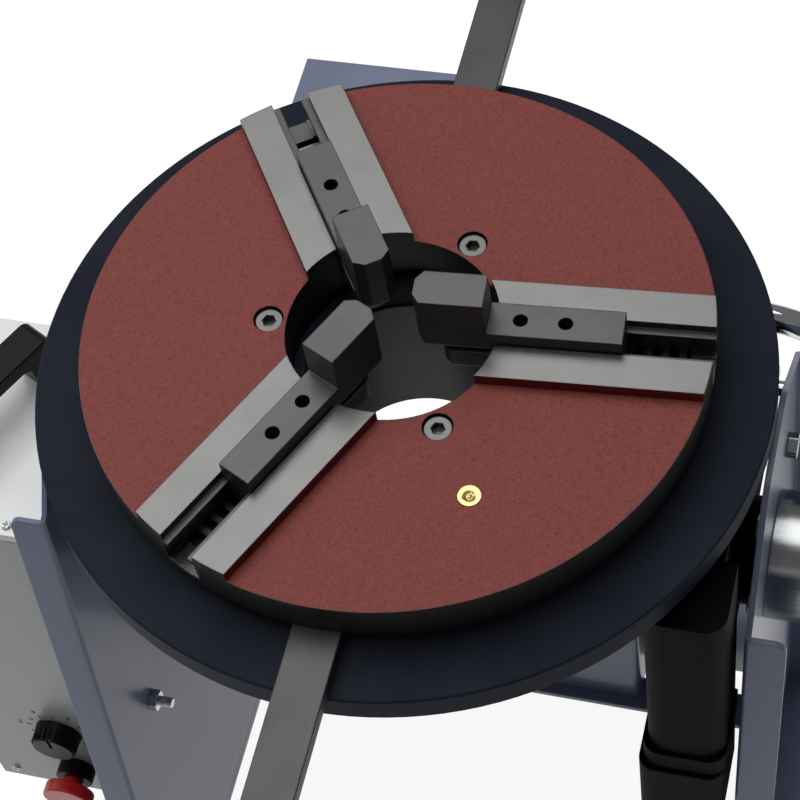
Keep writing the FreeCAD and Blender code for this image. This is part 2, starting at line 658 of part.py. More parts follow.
def make_casting():
    """Cast gear housing: right cheek, front column, foot flange and worm tube in one."""
    front = -S.column_front
    back = front + S.column_depth
    body = body_named("casting_form")
    web = outline(new_sketch(body, "casting_web_lines", "YZ_Plane", CASTING_INNER), [
        (front + 12, S.column_bottom), (S.carrier_depth / 2, S.column_bottom),
        (S.carrier_depth / 2, S.column_top), (front + 12, S.column_top)])
    pad(body, "casting_web", web, S.casting_width)
    column = outline(new_sketch(body, "casting_column_lines", "XY_Plane", S.column_bottom), [
        (CASTING_INNER, front), (S.cheek_face + 6, front), (S.cheek_face + 6, back),
        (CASTING_INNER, back)])
    pad(body, "casting_column", column, S.column_top - S.column_bottom)
    limit = front.value
    round_body(body, "casting_column_round", 11, lambda edge: along(edge, (0, 0, 1))
               and abs(edge.Vertexes[0].Y - limit) < 0.01)
    foot = outline(new_sketch(body, "casting_foot_lines", "XY_Plane", S.column_bottom - 14), [
        (CASTING_INNER - 2, front - 2), (S.cheek_face + 7, front - 2),
        (S.cheek_face + 7, back + 3), (CASTING_INNER - 2, back + 3)])
    pad(body, "casting_foot", foot, 16)
    round_body(body, "casting_foot_round", 9, lambda edge: along(edge, (0, 0, 1))
               and abs(edge.Vertexes[0].Y - limit + 2) < 0.01)
    tube = rod("worm_tube", S.worm_case_radius, S.casting_rear - back - 12,
               (S.worm_centre, back + 12, S.worm_height), "y")
    seat = rod("worm_bore", S.worm_shaft_radius + S.shaft_gap, 40,
               (S.worm_centre, S.casting_rear - 30, S.worm_height), "y")
    whole = fuse("casting_blank", [body, tube])
    return name_part(cut("casting_bored", whole, [seat]), "tilt_gear_casting")


def make_lower_block():
    """Cast block under the column that closes the tilt gear."""
    front = -S.column_front
    back = front + S.column_depth
    top = S.column_bottom - 14
    body = body_named("lower_block_form")
    lines = outline(new_sketch(body, "lower_block_lines", "XY_Plane", top), [
        (CASTING_INNER - 4, front - 4), (S.cheek_face + 6, front - 4),
        (S.cheek_face + 6, back + 10), (CASTING_INNER - 4, back + 10)])
    pad(body, "lower_block_pad", lines, S.lower_block_depth, reverse=True)
    round_body(body, "lower_block_round", 8, lambda edge: along(edge, (0, 0, 1)))
    return name_part(body, "tilt_gear_block")


def make_drive_case():
    """Hollow worm gear case round the spindle housing."""
    half = S.drive_case_width / 2
    top = CARRIER_FLOOR - 10
    body = body_named("drive_case_form")
    lines = outline(new_sketch(body, "drive_case_lines", "XY_Plane", top), [
        (-half, -half), (half, -half), (half, half), (-half, half)])
    ring_line(lines, 0, 0, S.housing_radius)
    pad(body, "drive_case_pad", lines, DRIVE_HEIGHT, reverse=True)
    round_body(body, "drive_case_round", 26, lambda edge: along(edge, (0, 0, 1)))
    return name_part(body, "table_drive_case")


DRIVE_HEIGHT = CARRIER_FLOOR - 10 - HOUSING_FLOOR


def make_motor():
    """Geared motor on the back of the drive case."""
    height = CARRIER_FLOOR - 10 - DRIVE_HEIGHT / 2
    half = S.drive_case_width / 2
    x = -S.motor_offset
    shell = rod("motor_shell", S.motor_radius, S.motor_end - half, (x, half, height), "y")
    flange = rod("motor_flange", S.motor_radius - 2, 8, (x, half, height), "y")
    ribs = [rod("motor_rib_%d" % number, S.motor_radius + 1.5, 3,
                (x, half + 24 + 10 * number, height), "y") for number in range(7)]
    return name_part(fuse("motor_whole", [shell, flange] + ribs), "table_motor")


def make_worm_shaft():
    """Input shaft of the tilt gear."""
    length = S.handwheel_reach + S.handwheel_hub_half - (S.casting_rear - 30)
    shaft = rod("worm_shaft_rod", S.worm_shaft_radius, length,
                (S.worm_centre, S.casting_rear - 30, S.worm_height), "y")
    return name_part(shaft, "tilt_worm_shaft")


def make_handwheel():
    """Three-spoke handwheel with a round rim."""
    centre = (S.worm_centre, S.handwheel_reach, S.worm_height)
    rim = doc.addObject("Part::Torus", "handwheel_rim_ring")
    rim.Placement = FreeCAD.Placement(V(), TURN_TO_AXIS["y"])
    bind(rim, Radius1=S.handwheel_radius - S.handwheel_rim, Radius2=S.handwheel_rim)
    place(rim, *centre)
    hub = rod("handwheel_hub", 16, 2 * S.handwheel_hub_half,
              (S.worm_centre, S.handwheel_reach - S.handwheel_hub_half, S.worm_height), "y")
    spokes = []
    for number in range(3):
        spoke = rod("handwheel_spoke_%d" % number, 5.5, S.handwheel_radius - S.handwheel_rim,
                    centre, "z")
        spoke.Placement.Rotation = FreeCAD.Rotation(V(0, 1, 0), 90 + 120 * number)
        spokes.append(spoke)
    bore = rod("handwheel_bore", S.worm_shaft_radius, 60,
               (S.worm_centre, S.handwheel_reach - 30, S.worm_height), "y")
    wheel = fuse("handwheel_whole", [rim, hub] + spokes)
    return name_part(cut("handwheel_bored", wheel, [bore]), "tilt_handwheel")


# ---- stand ---------------------------------------------------------------------------------

def make_side_plate(label, side):
    """Folded side plate: web with an arched top and an outward flange down each sloping edge."""
    thick = S.plate_thickness
    foot = S.foot_thickness
    near = S.plate_inner if side > 0 else -S.plate_inner - thick
    body = body_named(label + "_form")
    web = new_sketch(body, label + "_web_lines", "YZ_Plane", near)
    outline(web, [
        (-S.foot_front, foot), (S.foot_front, foot),
        (S.shoulder_rear, S.shoulder_rear_height), (S.plate_top_rear, S.plate_top),
        (-S.plate_top_front, S.plate_top), (-S.shoulder_front + 5, S.shoulder_height + 2),
        (-S.shoulder_front, S.shoulder_height)])
    ring_line(web, 0, S.tilt_height, trunnion_radius(side) + S.slide_gap)
    if side > 0:
        ring_line(web, S.stop_bolt_rear, S.tilt_height + S.stop_bolt_rise, S.hub_bolt_radius,
                  "stop_bolt")
    else:
        ring_line(web, -S.strap_bolt_front, S.strap_bolt_height, S.hub_bolt_radius, "strap_bolt")
    for number, (y, z) in enumerate(hub_bolt_spots(side)):
        ring_line(web, y, z, S.hub_bolt_radius, "bolt%d" % number)
    pad(body, label + "_web", web, thick)
    outer = near if side > 0 else near - S.flange_width + thick
    front = outline(new_sketch(body, label + "_front_lines", "YZ_Plane", outer), [
        (-S.foot_front, foot), (-S.foot_front + thick, foot),
        (-S.shoulder_front + thick, S.shoulder_height), (-S.shoulder_front, S.shoulder_height)])
    pad(body, label + "_front_flange", front, S.flange_width)
    rear = outline(new_sketch(body, label + "_rear_lines", "YZ_Plane", outer), [
        (S.foot_front - thick, foot), (S.foot_front, foot),
        (S.shoulder_rear, S.shoulder_rear_height),
        (S.shoulder_rear - thick, S.shoulder_rear_height)])
    pad(body, label + "_rear_flange", rear, S.flange_width)
    bend = side * S.plate_inner.value
    tip = side * (S.plate_inner.value + S.flange_width.value)
    reach = S.foot_front.value * 0.55

    def on_bend(edge):
        ends = edge.Vertexes
        return (len(ends) == 2 and edge.Length > 300
                and all(abs(end.X - bend) < 0.01 for end in ends)
                and abs(abs(ends[0].Y) - S.foot_front.value) < 70 and abs(ends[0].Y) > reach)

    round_body(body, label + "_bends", 2.4, on_bend)
    round_body(body, label + "_flange_corners", 6, lambda edge: along(edge, (0, 1, 0))
               and abs(edge.Vertexes[0].X - tip) < 0.01
               and edge.Vertexes[0].Z > S.shoulder_height.value - 1)
    round_body(body, label + "_arch", 24, lambda edge: along(edge, (1, 0, 0))
               and abs(edge.Vertexes[0].Z - S.plate_top.value) < 0.01)
    return name_part(body, label)


def make_foot(label, side):
    """Flat foot bar with two holes for floor bolts."""
    near = S.plate_inner if side > 0 else -S.plate_inner - S.foot_width
    half = S.foot_length / 2
    centre = side * (S.plate_inner + S.foot_hole_reach)
    body = body_named(label + "_form")
    lines = outline(new_sketch(body, label + "_lines", "XY_Plane"), [
        (near, -half), (near + S.foot_width, -half), (near + S.foot_width, half), (near, half)])
    for tag, sign in (("front", -1), ("rear", 1)):
        ring_line(lines, centre, sign * (S.foot_bolt_length / 2), S.foot_hole_radius, tag)
    pad(body, label + "_pad", lines, S.foot_thickness)
    round_body(body, label + "_corners", 8, lambda edge: along(edge, (0, 0, 1))
               and abs(abs(edge.Vertexes[0].Y) - half.value) < 0.01)
    return name_part(body, label)


def make_strip():
    """Tie strip between the feet."""
    front = S.strip_front
    strip = block("strip_bar", (-S.plate_inner, front, 0),
                  (S.plate_inner, front + S.strip_depth, S.strip_thickness))
    return name_part(strip, "tie_strip")


def make_cross_box():
    """Folded box that stiffens the stand behind the tie strip."""
    half = S.box_half_width
    body = body_named("cross_box_form")
    rear = S.foot_front - S.panel_inset - PANEL_SLOPE * S.box_height - 2
    floor = S.strip_thickness
    lines = outline(new_sketch(body, "cross_box_lines", "YZ_Plane"), [
        (S.box_front, floor), (rear + PANEL_SLOPE * S.box_height, floor),
        (rear, floor + S.box_height), (S.box_front, floor + S.box_height)])
    pad(body, "cross_box_pad", lines, half * 2, middle=True)
    front = S.box_front.value
    round_body(body, "cross_box_bends", 6, lambda edge: along(edge, (0, 0, 1))
               and abs(edge.Vertexes[0].Y - front) < 0.01)
    return name_part(body, "cross_box")


PANEL_SLOPE = (S.foot_front - S.shoulder_rear) / (S.shoulder_rear_height - S.foot_thickness)


def make_rear_panel():
    """Panel between the rear edges of the side plates, leaning with them."""
    thick = S.plate_thickness
    low = S.foot_thickness
    foot = S.foot_front - S.panel_inset
    high = foot - PANEL_SLOPE * (S.rear_panel_top - low)
    body = body_named("rear_panel_form")
    lines = outline(new_sketch(body, "rear_panel_lines", "YZ_Plane"), [
        (foot, low), (foot + thick, low), (high + thick, S.rear_panel_top),
        (high, S.rear_panel_top)])
    pad(body, "rear_panel_pad", lines, S.plate_inner * 2, middle=True)
    return name_part(body, "rear_panel")


def hub_bolt_spots(side):
    """Where a bearing hub is bolted: a ring of three on the gear side, a pair on the other."""
    if side < 0:
        return [(-S.slim_bolt_reach, S.tilt_height), (S.slim_bolt_reach, S.tilt_height)]
    return [(S.hub_bolt_circle * math.cos(math.radians(angle)),
             S.tilt_height + S.hub_bolt_circle * math.sin(math.radians(angle)))
            for angle in (95, 190, 320)]


def trunnion_radius(side):
    return S.trunnion_radius if side > 0 else S.left_trunnion_radius


def make_bearing_hub(label, side):
    """Bearing housing on the outside of a side plate, with a bar flange on the cabinet side."""
    outer = S.plate_inner + S.plate_thickness
    start = outer if side > 0 else -outer - S.hub_length
    height = S.tilt_height
    radius = S.hub_radius_outer if side > 0 else S.slim_hub_radius
    barrel = rod(label + "_barrel", radius, S.hub_length, (start, 0, height), "x")
    bore = rod(label + "_bore", trunnion_radius(side) + S.shaft_gap, S.hub_length + 2,
               (start - 1, 0, height), "x")
    if side > 0:
        blank = barrel
    else:
        flange = block(label + "_flange",
                       (-outer - S.slim_flange, -S.slim_flange_reach, height - S.slim_flange_half),
                       (-outer, S.slim_flange_reach, height + S.slim_flange_half))
        blank = fuse(label + "_blank", [barrel, flange])
    hole_start = outer - 1 if side > 0 else -outer - S.slim_flange - 1
    hole_length = S.hub_bolt_depth + 2 if side > 0 else S.slim_flange + 2
    holes = [rod("%s_hole_%d" % (label, number), S.hub_bolt_radius, hole_length,
                 (hole_start, y, z), "x")
             for number, (y, z) in enumerate(hub_bolt_spots(side))]
    return name_part(cut(label + "_bored", blank, [bore] + holes), label)


def hex_bolt(name, head_start, shank_start, shank_length, y, z):
    """A hexagon bolt along X."""
    head = prism(name + "_head", 6, S.hex_radius, S.hex_length, (head_start, y, z), "x")
    shank = rod(name + "_shank", S.hub_bolt_radius, shank_length, (shank_start, y, z), "x")
    return fuse(name, [head, shank])


def make_hub_bolts(label, side):
    """Hex bolts that hold a bearing hub to its side plate."""
    outer = S.plate_inner + S.plate_thickness
    bolts = []
    for number, (y, z) in enumerate(hub_bolt_spots(side)):
        name = "%s_bolt_%d" % (label, number)
        if side > 0:
            start = S.plate_inner - S.hex_length
            length = S.hex_length + S.plate_thickness + S.hub_bolt_depth
            bolts.append(hex_bolt(name, start, start, length, y, z))
        else:
            face = -outer - S.slim_flange
            length = S.slim_flange + S.plate_thickness + S.hub_bolt_radius
            bolts.append(hex_bolt(name, face - S.hex_length, face, length, y, z))
    return name_part(together(label + "_set", bolts), label)


def make_plate_bolts():
    """A stop bolt on the outside of the right plate and a strap bolt inside the left one."""
    outer = S.plate_inner + S.plate_thickness
    name_part(hex_bolt("stop_bolt", outer, S.plate_inner, S.plate_thickness + S.hex_length,
                       S.stop_bolt_rear, S.tilt_height + S.stop_bolt_rise), "right_stop_bolt")
    name_part(hex_bolt("strap_bolt", -S.plate_inner, -S.plate_inner - S.plate_thickness,
                       S.plate_thickness + S.hex_length * 2 + S.hub_bolt_radius,
                       -S.strap_bolt_front, S.strap_bolt_height), "left_strap_bolt")


# ---- control cabinet -----------------------------------------------------------------------

CABINET_RIGHT = -S.plate_inner - S.plate_thickness
CABINET_TOP = S.tilt_height + S.cabinet_rise
CABINET_LEFT = CABINET_RIGHT - S.cabinet_width
CONTROL_X = (CABINET_LEFT + CABINET_RIGHT) / 2


def make_cabinet():
    """Sheet steel cabinet with rounded vertical edges, open at its front."""
    body = body_named("cabinet_form")
    lines = outline(new_sketch(body, "cabinet_lines", "XY_Plane", S.cabinet_bottom), [
        (CABINET_LEFT, -S.cabinet_front + S.cabinet_gap),
        (CABINET_RIGHT, -S.cabinet_front + S.cabinet_gap),
        (CABINET_RIGHT, S.cabinet_rear), (CABINET_LEFT, S.cabinet_rear)])
    pad(body, "cabinet_pad", lines, CABINET_TOP - S.cabinet_bottom)
    side = CABINET_LEFT.value
    round_body(body, "cabinet_round", 7, lambda edge: along(edge, (0, 0, 1))
               and abs(edge.Vertexes[0].X - side) < 0.01)
    wall = S.cabinet_wall
    inside = block("cabinet_inside", (CABINET_LEFT + wall, -S.cabinet_front - 1,
                                      S.cabinet_bottom + wall),
                   (CABINET_RIGHT - wall, S.cabinet_rear - wall, CABINET_TOP - wall))
    reach = S.slim_flange_reach + wall
    hub_way = block("cabinet_hub_way", (CABINET_RIGHT - wall - 1, -reach,
                                        S.tilt_height - S.slim_hub_radius - 1),
                    (CABINET_RIGHT + 1, reach, CABINET_TOP - wall))
    return name_part(cut("cabinet_shell", body, [inside, hub_way]), "control_cabinet")


def make_cabinet_front():
    """Front panel of the cabinet, bored for its controls."""
    front = -S.cabinet_front
    body = body_named("cabinet_front_form")
    lines = outline(new_sketch(body, "cabinet_front_lines", "XZ_Plane", S.cabinet_front), [
        (CABINET_LEFT, S.cabinet_bottom), (CABINET_RIGHT, S.cabinet_bottom),
        (CABINET_RIGHT, CABINET_TOP), (CABINET_LEFT, CABINET_TOP)])
    ring_line(lines, CONTROL_X, S.controls_height, S.stop_stem_radius + S.running_gap)
    pad(body, "cabinet_front_pad", lines, S.cabinet_gap, reverse=True)
    return name_part(body, "cabinet_front_panel")


def make_on_front(label, radius, depth, height, x=None):
    """A round control that stands on the front panel."""
    x = CONTROL_X if x is None else x
    return rod(label + "_disc", radius, depth, (x, -S.cabinet_front - depth, height), "y")


def make_handle():
    """Bridge handle on top of the cabinet."""
    middle = (S.cabinet_rear - S.cabinet_front) / 2
    half = S.handle_length / 2
    floor = CABINET_TOP
    thick = S.handle_thickness
    body = body_named("handle_form")
    leg = S.handle_leg
    lines = outline(new_sketch(body, "handle_lines", "YZ_Plane", CABINET_RIGHT - S.handle_inset), [
        (middle - half, floor), (middle - half + leg, floor),
        (middle - half + leg + 4, floor + S.handle_rise - thick),
        (middle + half - leg - 4, floor + S.handle_rise - thick),
        (middle + half - leg, floor), (middle + half, floor),
        (middle + half - 6, floor + S.handle_rise), (middle - half + 6, floor + S.handle_rise)])
    pad(body, "handle_pad", lines, S.handle_width, middle=True)
    top = (floor + S.handle_rise).value
    round_body(body, "handle_round", 6, lambda edge: along(edge, (1, 0, 0))
               and edge.Vertexes[0].Z > top - 12)
    return name_part(body, "cabinet_handle")


def make_stop_button():
    """Mushroom head of the stop button."""
    height = S.controls_height
    head = make_on_front("stop_head", S.stop_button_radius, 9, height)
    head_y = -S.cabinet_front - 12 - S.stop_button_travel
    bind(head, Base_y=head_y - 9)
    stem = rod("stop_stem", S.stop_stem_radius, S.stop_button_travel + 13,
               (CONTROL_X, head_y, height), "y")
    return name_part(fuse("stop_whole", [head, stem]), "stop_button")


def make_stop_collar():
    height = S.controls_height
    ring = rod("stop_ring", 12, 10, (CONTROL_X, -S.cabinet_front - 10, height), "y")
    bore = rod("stop_ring_bore", S.stop_stem_radius + S.running_gap, 14,
               (CONTROL_X, -S.cabinet_front - 12, height), "y")
    return name_part(cut("stop_ring_bored", ring, [bore]), "stop_collar")


def make_knob():
    """Speed knob with a pointer groove."""
    height = S.controls_height + S.controls_pitch
    face = -S.cabinet_front - S.running_gap
    cap = cone("knob_cap", S.knob_radius - 2, S.knob_radius, 13,
               (CONTROL_X, face - 13, height), "y")
    groove = block("knob_groove", (CONTROL_X - 1, face - 14, height + 3),
                   (CONTROL_X + 1, face - 11.5, height + S.knob_radius + 2))
    return name_part(cut("knob_grooved", cap, [groove]), "speed_knob")


def make_all():
    """Every sub-part in turn."""
    make_side_plate("left_side_plate", -1)
    make_side_plate("right_side_plate", 1)
    make_foot("left_foot", -1)
    make_foot("right_foot", 1)
    make_strip()
    make_cross_box()
    make_rear_panel()
    make_bearing_hub("left_bearing_hub", -1)
    make_bearing_hub("right_bearing_hub", 1)
    make_plate_bolts()
    make_hub_bolts("left_hub_bolts", -1)
    make_hub_bolts("right_hub_bolts", 1)
    make_cabinet()
    make_cabinet_front()
    make_handle()
    make_stop_collar()
    make_stop_button()
    make_knob()
    make_carrier()
    make_housing()
    make_cheek()
    make_casting()
    make_lower_block()
    make_trunnion("left_trunnion", -1)
    make_trunnion("right_trunnion", 1)
    make_drive_case()
    make_motor()
    make_worm_shaft()
    make_handwheel()
    make_spindle()
    make_locknut()
    make_table()
    make_chuck_body()
    make_chuck_screws()
    make_oiler()
    make_scroll()
    make_lever("front_scroll_lever", -1)
    make_lever("rear_scroll_lever", 1)
    for index in range(3):
        make_jaw(index)


def check_and_write():
    """Stop on any failed object, then write one file for each sub-part."""
    doc.recompute()
    for obj in doc.Objects:
        if "Invalid" in obj.State or "Error" in obj.State:
            raise RuntimeError("%s failed: %s" % (obj.Name, obj.State))
    os.makedirs("parts", exist_ok=True)
    for part in SUBPARTS:
        shape = part.Shape
        if shape.isNull() or not shape.isValid() or not shape.Solids:
            raise RuntimeError("%s has no valid solid" % part.Label)
        shape.exportStep("parts/%s.step" % part.Label)
        print("%-24s %2d solids %12.0f mm3" % (part.Label, len(shape.Solids), shape.Volume))


make_all()
check_and_write()
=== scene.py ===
"""Looks of a welding positioner with a tilting table and a three-jaw scroll chuck.

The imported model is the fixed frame. Every piece is in metres in that frame: +Z is up, +X points
to the side of the tilt gear and -Y to the operator.
"""
import json
import math

import bmesh
import bpy
from mathutils import Matrix, Vector


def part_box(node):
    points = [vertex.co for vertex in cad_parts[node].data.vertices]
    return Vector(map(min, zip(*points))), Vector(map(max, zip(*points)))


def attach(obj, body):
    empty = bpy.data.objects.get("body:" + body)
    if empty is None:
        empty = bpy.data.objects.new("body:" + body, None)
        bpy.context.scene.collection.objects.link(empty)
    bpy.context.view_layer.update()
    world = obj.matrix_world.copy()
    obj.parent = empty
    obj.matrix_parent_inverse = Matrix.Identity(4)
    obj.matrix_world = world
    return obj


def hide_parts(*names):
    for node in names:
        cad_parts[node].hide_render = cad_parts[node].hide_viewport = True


bl_info = {
    "name": "Welding Positioner Looks",
    "version": (1, 0, 0),
    "blender": (4, 5, 0),
    "location": "View3D > Sidebar > Positioner",
    "description": "Builds the finish of a welding positioner around its packed frame",
    "category": "Object",
}

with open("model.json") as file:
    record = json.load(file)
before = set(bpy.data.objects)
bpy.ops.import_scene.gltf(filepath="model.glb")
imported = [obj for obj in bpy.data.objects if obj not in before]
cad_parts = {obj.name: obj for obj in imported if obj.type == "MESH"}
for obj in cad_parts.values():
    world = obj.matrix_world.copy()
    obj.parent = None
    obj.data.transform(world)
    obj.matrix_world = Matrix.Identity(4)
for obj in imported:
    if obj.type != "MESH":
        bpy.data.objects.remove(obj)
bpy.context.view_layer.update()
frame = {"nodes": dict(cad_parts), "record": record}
RECORD = frame["record"]
BODY_OF = {node: body for body, nodes in RECORD["behaviour"]["bodies"].items() for node in nodes}


# ---- places read from the frame ------------------------------------------------------------

def low(node):
    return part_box(node)[0]


def high(node):
    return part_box(node)[1]


def middle(node):
    return (low(node) + high(node)) / 2


CHUCK_TOP = high("chuck_body").z
CHUCK_RADIUS = high("chuck_body").x
WAY_TURN = math.atan2(middle("jaw_1").y, middle("jaw_1").x)
WAY_TURNS = [WAY_TURN + math.radians(120) * number for number in range(3)]


# ---- sizes in metres -----------------------------------------------------------------------

# The chuck's casting: its cast face lies CAST_DROP under the tops of the ways.
CAST_DROP = 0.0065
SLOT_HALF = 0.0095
SLOT_START = 0.052
SLOT_DEPTH = 0.021
BORE_REACH = 0.0516

# How far the middle of a face may lie from the surface that gives it its finish.
SKIN = 0.0003
TOP_SKIN = 0.0004
CAST_SKIN = 0.0005

# Rounding of the edges of small pieces.
OILER_EDGE = 0.0002
BOLT_EDGE = 0.0003
WHEEL_EDGE = 0.0005
KNOB_EDGE = 0.0006
LEVER_EDGE = 0.0007
HANDLE_EDGE = 0.0012
BUTTON_EDGE = 0.0014
JAW_EDGE_RATIO = 1.5

# The bolt through the left side plate.
BOLT_HEAD = 0.0055
BOLT_RADIUS = 0.003
BOLT_PITCH = 0.001
THREAD_RUNOUT_TURNS = 0.5

# The folded cover over the table's motor.
SHEET = 0.0015
COVER_LEFT = 0.014
COVER_RIGHT = 0.022
COVER_RISE = 0.005
COVER_SETBACK = 0.020

# The bridge handle stands askew on the cabinet, turned about its far leg, with a slim grip.
HANDLE_LEG = 0.020
HANDLE_TURN = Matrix.Rotation(math.radians(-27), 4, "Z")
HANDLE_SLIM = Matrix.Diagonal((0.8, 1, 1, 1))

# Screws of the cabinet and the dial round its speed knob.
SCREW_INSET = 0.012
LIP_SCREW_LEFT = 0.02
LIP_SCREW_RIGHT = 0.030
DIAL_START = math.radians(-45)
DIAL_SWEEP = math.radians(270)
DIAL_MARKS = 11
MARK_REACH = 0.0195
MARK_SIZE = {"Length": 0.003, "Width": 0.0006, "Height": 0.0004}
NUMBER_REACH = 0.0255
NUMBER_HEIGHT = 0.006
NUMBER_THICKNESS = 0.00015
FLUTES = {"Count": 24, "Radius": 0.0138, "Length": 0.0012, "Width": 0.0012, "Height": 0.010}
FLUTE_SETBACK = 0.0065


# ---- colours -------------------------------------------------------------------------------

def srgb(red, green, blue):
    """A colour as painters read it, 0 to 255, in the renderer's linear numbers."""
    return tuple(linear(part / 255) for part in (red, green, blue)) + (1.0,)


def linear(part):
    return part / 12.92 if part <= 0.04045 else ((part + 0.055) / 1.055) ** 2.4


class FinishColours(bpy.types.PropertyGroup):
    """Colours that a user would change."""

    slate: bpy.props.FloatVectorProperty(
        name="Stand paint", description="Powder coat of the folded stand",
        subtype="COLOR", size=4, min=0, max=1, default=srgb(102, 111, 137))
    navy: bpy.props.FloatVectorProperty(
        name="Table paint", description="Paint of the round table",
        subtype="COLOR", size=4, min=0, max=1, default=srgb(30, 34, 47))
    oxide: bpy.props.FloatVectorProperty(
        name="Chuck paint", description="Paint on the cast face of the chuck",
        subtype="COLOR", size=4, min=0, max=1, default=srgb(138, 64, 57))
    ground: bpy.props.FloatVectorProperty(
        name="Ground steel", description="Ground faces of the ways",
        subtype="COLOR", size=4, min=0, max=1, default=srgb(111, 111, 110))
    blued: bpy.props.FloatVectorProperty(
        name="Blackened steel", description="Jaws and levers",
        subtype="COLOR", size=4, min=0, max=1, default=srgb(84, 84, 84))
    casting: bpy.props.FloatVectorProperty(
        name="Casting paint", description="Black paint of the gear castings",
        subtype="COLOR", size=4, min=0, max=1, default=srgb(8, 8, 9))
    cabinet: bpy.props.FloatVectorProperty(
        name="Cabinet paint", description="Light grey paint of the control cabinet",
        subtype="COLOR", size=4, min=0, max=1, default=srgb(238, 239, 238))
    brass: bpy.props.FloatVectorProperty(
        name="Brass", description="Ball oiler and terminals",
        subtype="COLOR", size=4, min=0, max=1, default=srgb(222, 196, 132))


class EdgeSizes(bpy.types.PropertyGroup):
    """Sizes of edges and grain that a user would change."""

    sheet_edge: bpy.props.FloatProperty(
        name="Sheet edge", description="Rounding of folded sheet edges",
        default=0.0006, min=0, unit="LENGTH", precision=5)
    cast_edge: bpy.props.FloatProperty(
        name="Casting edge", description="Rounding of cast edges",
        default=0.0015, min=0, unit="LENGTH", precision=5)
    steel_edge: bpy.props.FloatProperty(
        name="Steel edge", description="Chamfer of machined steel edges",
        default=0.0004, min=0, unit="LENGTH", precision=5)
    grain: bpy.props.FloatProperty(
        name="Cast grain", description="Size of the grain in the cast paint",
        default=0.0012, min=0.0001, unit="LENGTH", precision=5)


def colours():
    return bpy.context.scene.positioner_colours


def edges():
    return bpy.context.scene.positioner_edges


# ---- shader groups -------------------------------------------------------------------------

def new_group(name, inputs, outputs):
    """A shader group with named sockets; inputs and outputs are (name, socket type, default)."""
    group = bpy.data.node_groups.new(name, "ShaderNodeTree")
    for direction, sockets in (("INPUT", inputs), ("OUTPUT", outputs)):
        for label, kind, default in sockets:
            socket = group.interface.new_socket(label, in_out=direction, socket_type=kind)
            if default is not None:
                socket.default_value = default
    entry = group.nodes.new("NodeGroupInput")
    leave = group.nodes.new("NodeGroupOutput")
    return group, entry, leave


FLOAT = "NodeSocketFloat"
NORMAL = "NodeSocketVector"


def math_node(tree, operation, first, second=None, clamp=False):
    node = tree.nodes.new("ShaderNodeMath")
    node.operation = operation
    node.use_clamp = clamp
    for index, value in enumerate((first, second)):
        if value is None:
            continue
        if isinstance(value, (int, float)):
            node.inputs[index].default_value = value
        else:
            tree.links.new(value, node.inputs[index])
    return node.outputs[0]


def noise(tree, vector, scale, detail=4.0, roughness=0.55):
    node = tree.nodes.new("ShaderNodeTexNoise")
    node.inputs["Detail"].default_value = detail
    node.inputs["Roughness"].default_value = roughness
    tree.links.new(vector, node.inputs["Vector"])
    if isinstance(scale, (int, float)):
        node.inputs["Scale"].default_value = scale
    else:
        tree.links.new(scale, node.inputs["Scale"])
    return node.outputs["Fac"]


def ramp(tree, value, low_at, high_at):
    """0 below low_at, 1 above high_at."""
    node = tree.nodes.new("ShaderNodeMapRange")
    node.inputs["From Min"].default_value = low_at
    node.inputs["From Max"].default_value = high_at
    tree.links.new(value, node.inputs["Value"])
    return node.outputs["Result"]


def mix_colour(tree, factor, first, second):
    node = tree.nodes.new("ShaderNodeMix")
    node.data_type = "RGBA"
    for index, value in ((0, factor), (6, first), (7, second)):
        if isinstance(value, (float, tuple)):
            node.inputs[index].default_value = value
        else:
            tree.links.new(value, node.inputs[index])
    return node.outputs[2]


def object_point(tree):
    return tree.nodes.new("ShaderNodeTexCoord").outputs["Object"]


def edge_wear_group():
    """Mask of worn edges, broken up by noise, and a normal that rounds every edge. Paint shows
    bare metal under the mask; casting paint and bare steel are lightened under it as a painted
    highlight.
    """
    group, entry, leave = new_group(
        "Edge wear", [("Radius", FLOAT, 0.001), ("Amount", FLOAT, 0.5)],
        [("Mask", FLOAT, None), ("Normal", NORMAL, None)])
    bevel = group.nodes.new("ShaderNodeBevel")
    bevel.samples = 4
    group.links.new(entry.outputs["Radius"], bevel.inputs["Radius"])
    flat = group.nodes.new("ShaderNodeNewGeometry")
    dot = group.nodes.new("ShaderNodeVectorMath")
    dot.operation = "DOT_PRODUCT"
    group.links.new(bevel.outputs["Normal"], dot.inputs[0])
    group.links.new(flat.outputs["Normal"], dot.inputs[1])
    turned = math_node(group, "SUBTRACT", 1.0, dot.outputs["Value"], clamp=True)
    edge = ramp(group, turned, 0.02, 0.22)
    broken = ramp(group, noise(group, object_point(group), 220.0, 6.0), 0.40, 0.66)
    worn = math_node(group, "MULTIPLY", edge, broken)
    worn = math_node(group, "MULTIPLY", worn, entry.outputs["Amount"], clamp=True)
    group.links.new(worn, leave.inputs["Mask"])
    group.links.new(bevel.outputs["Normal"], leave.inputs["Normal"])
    return group


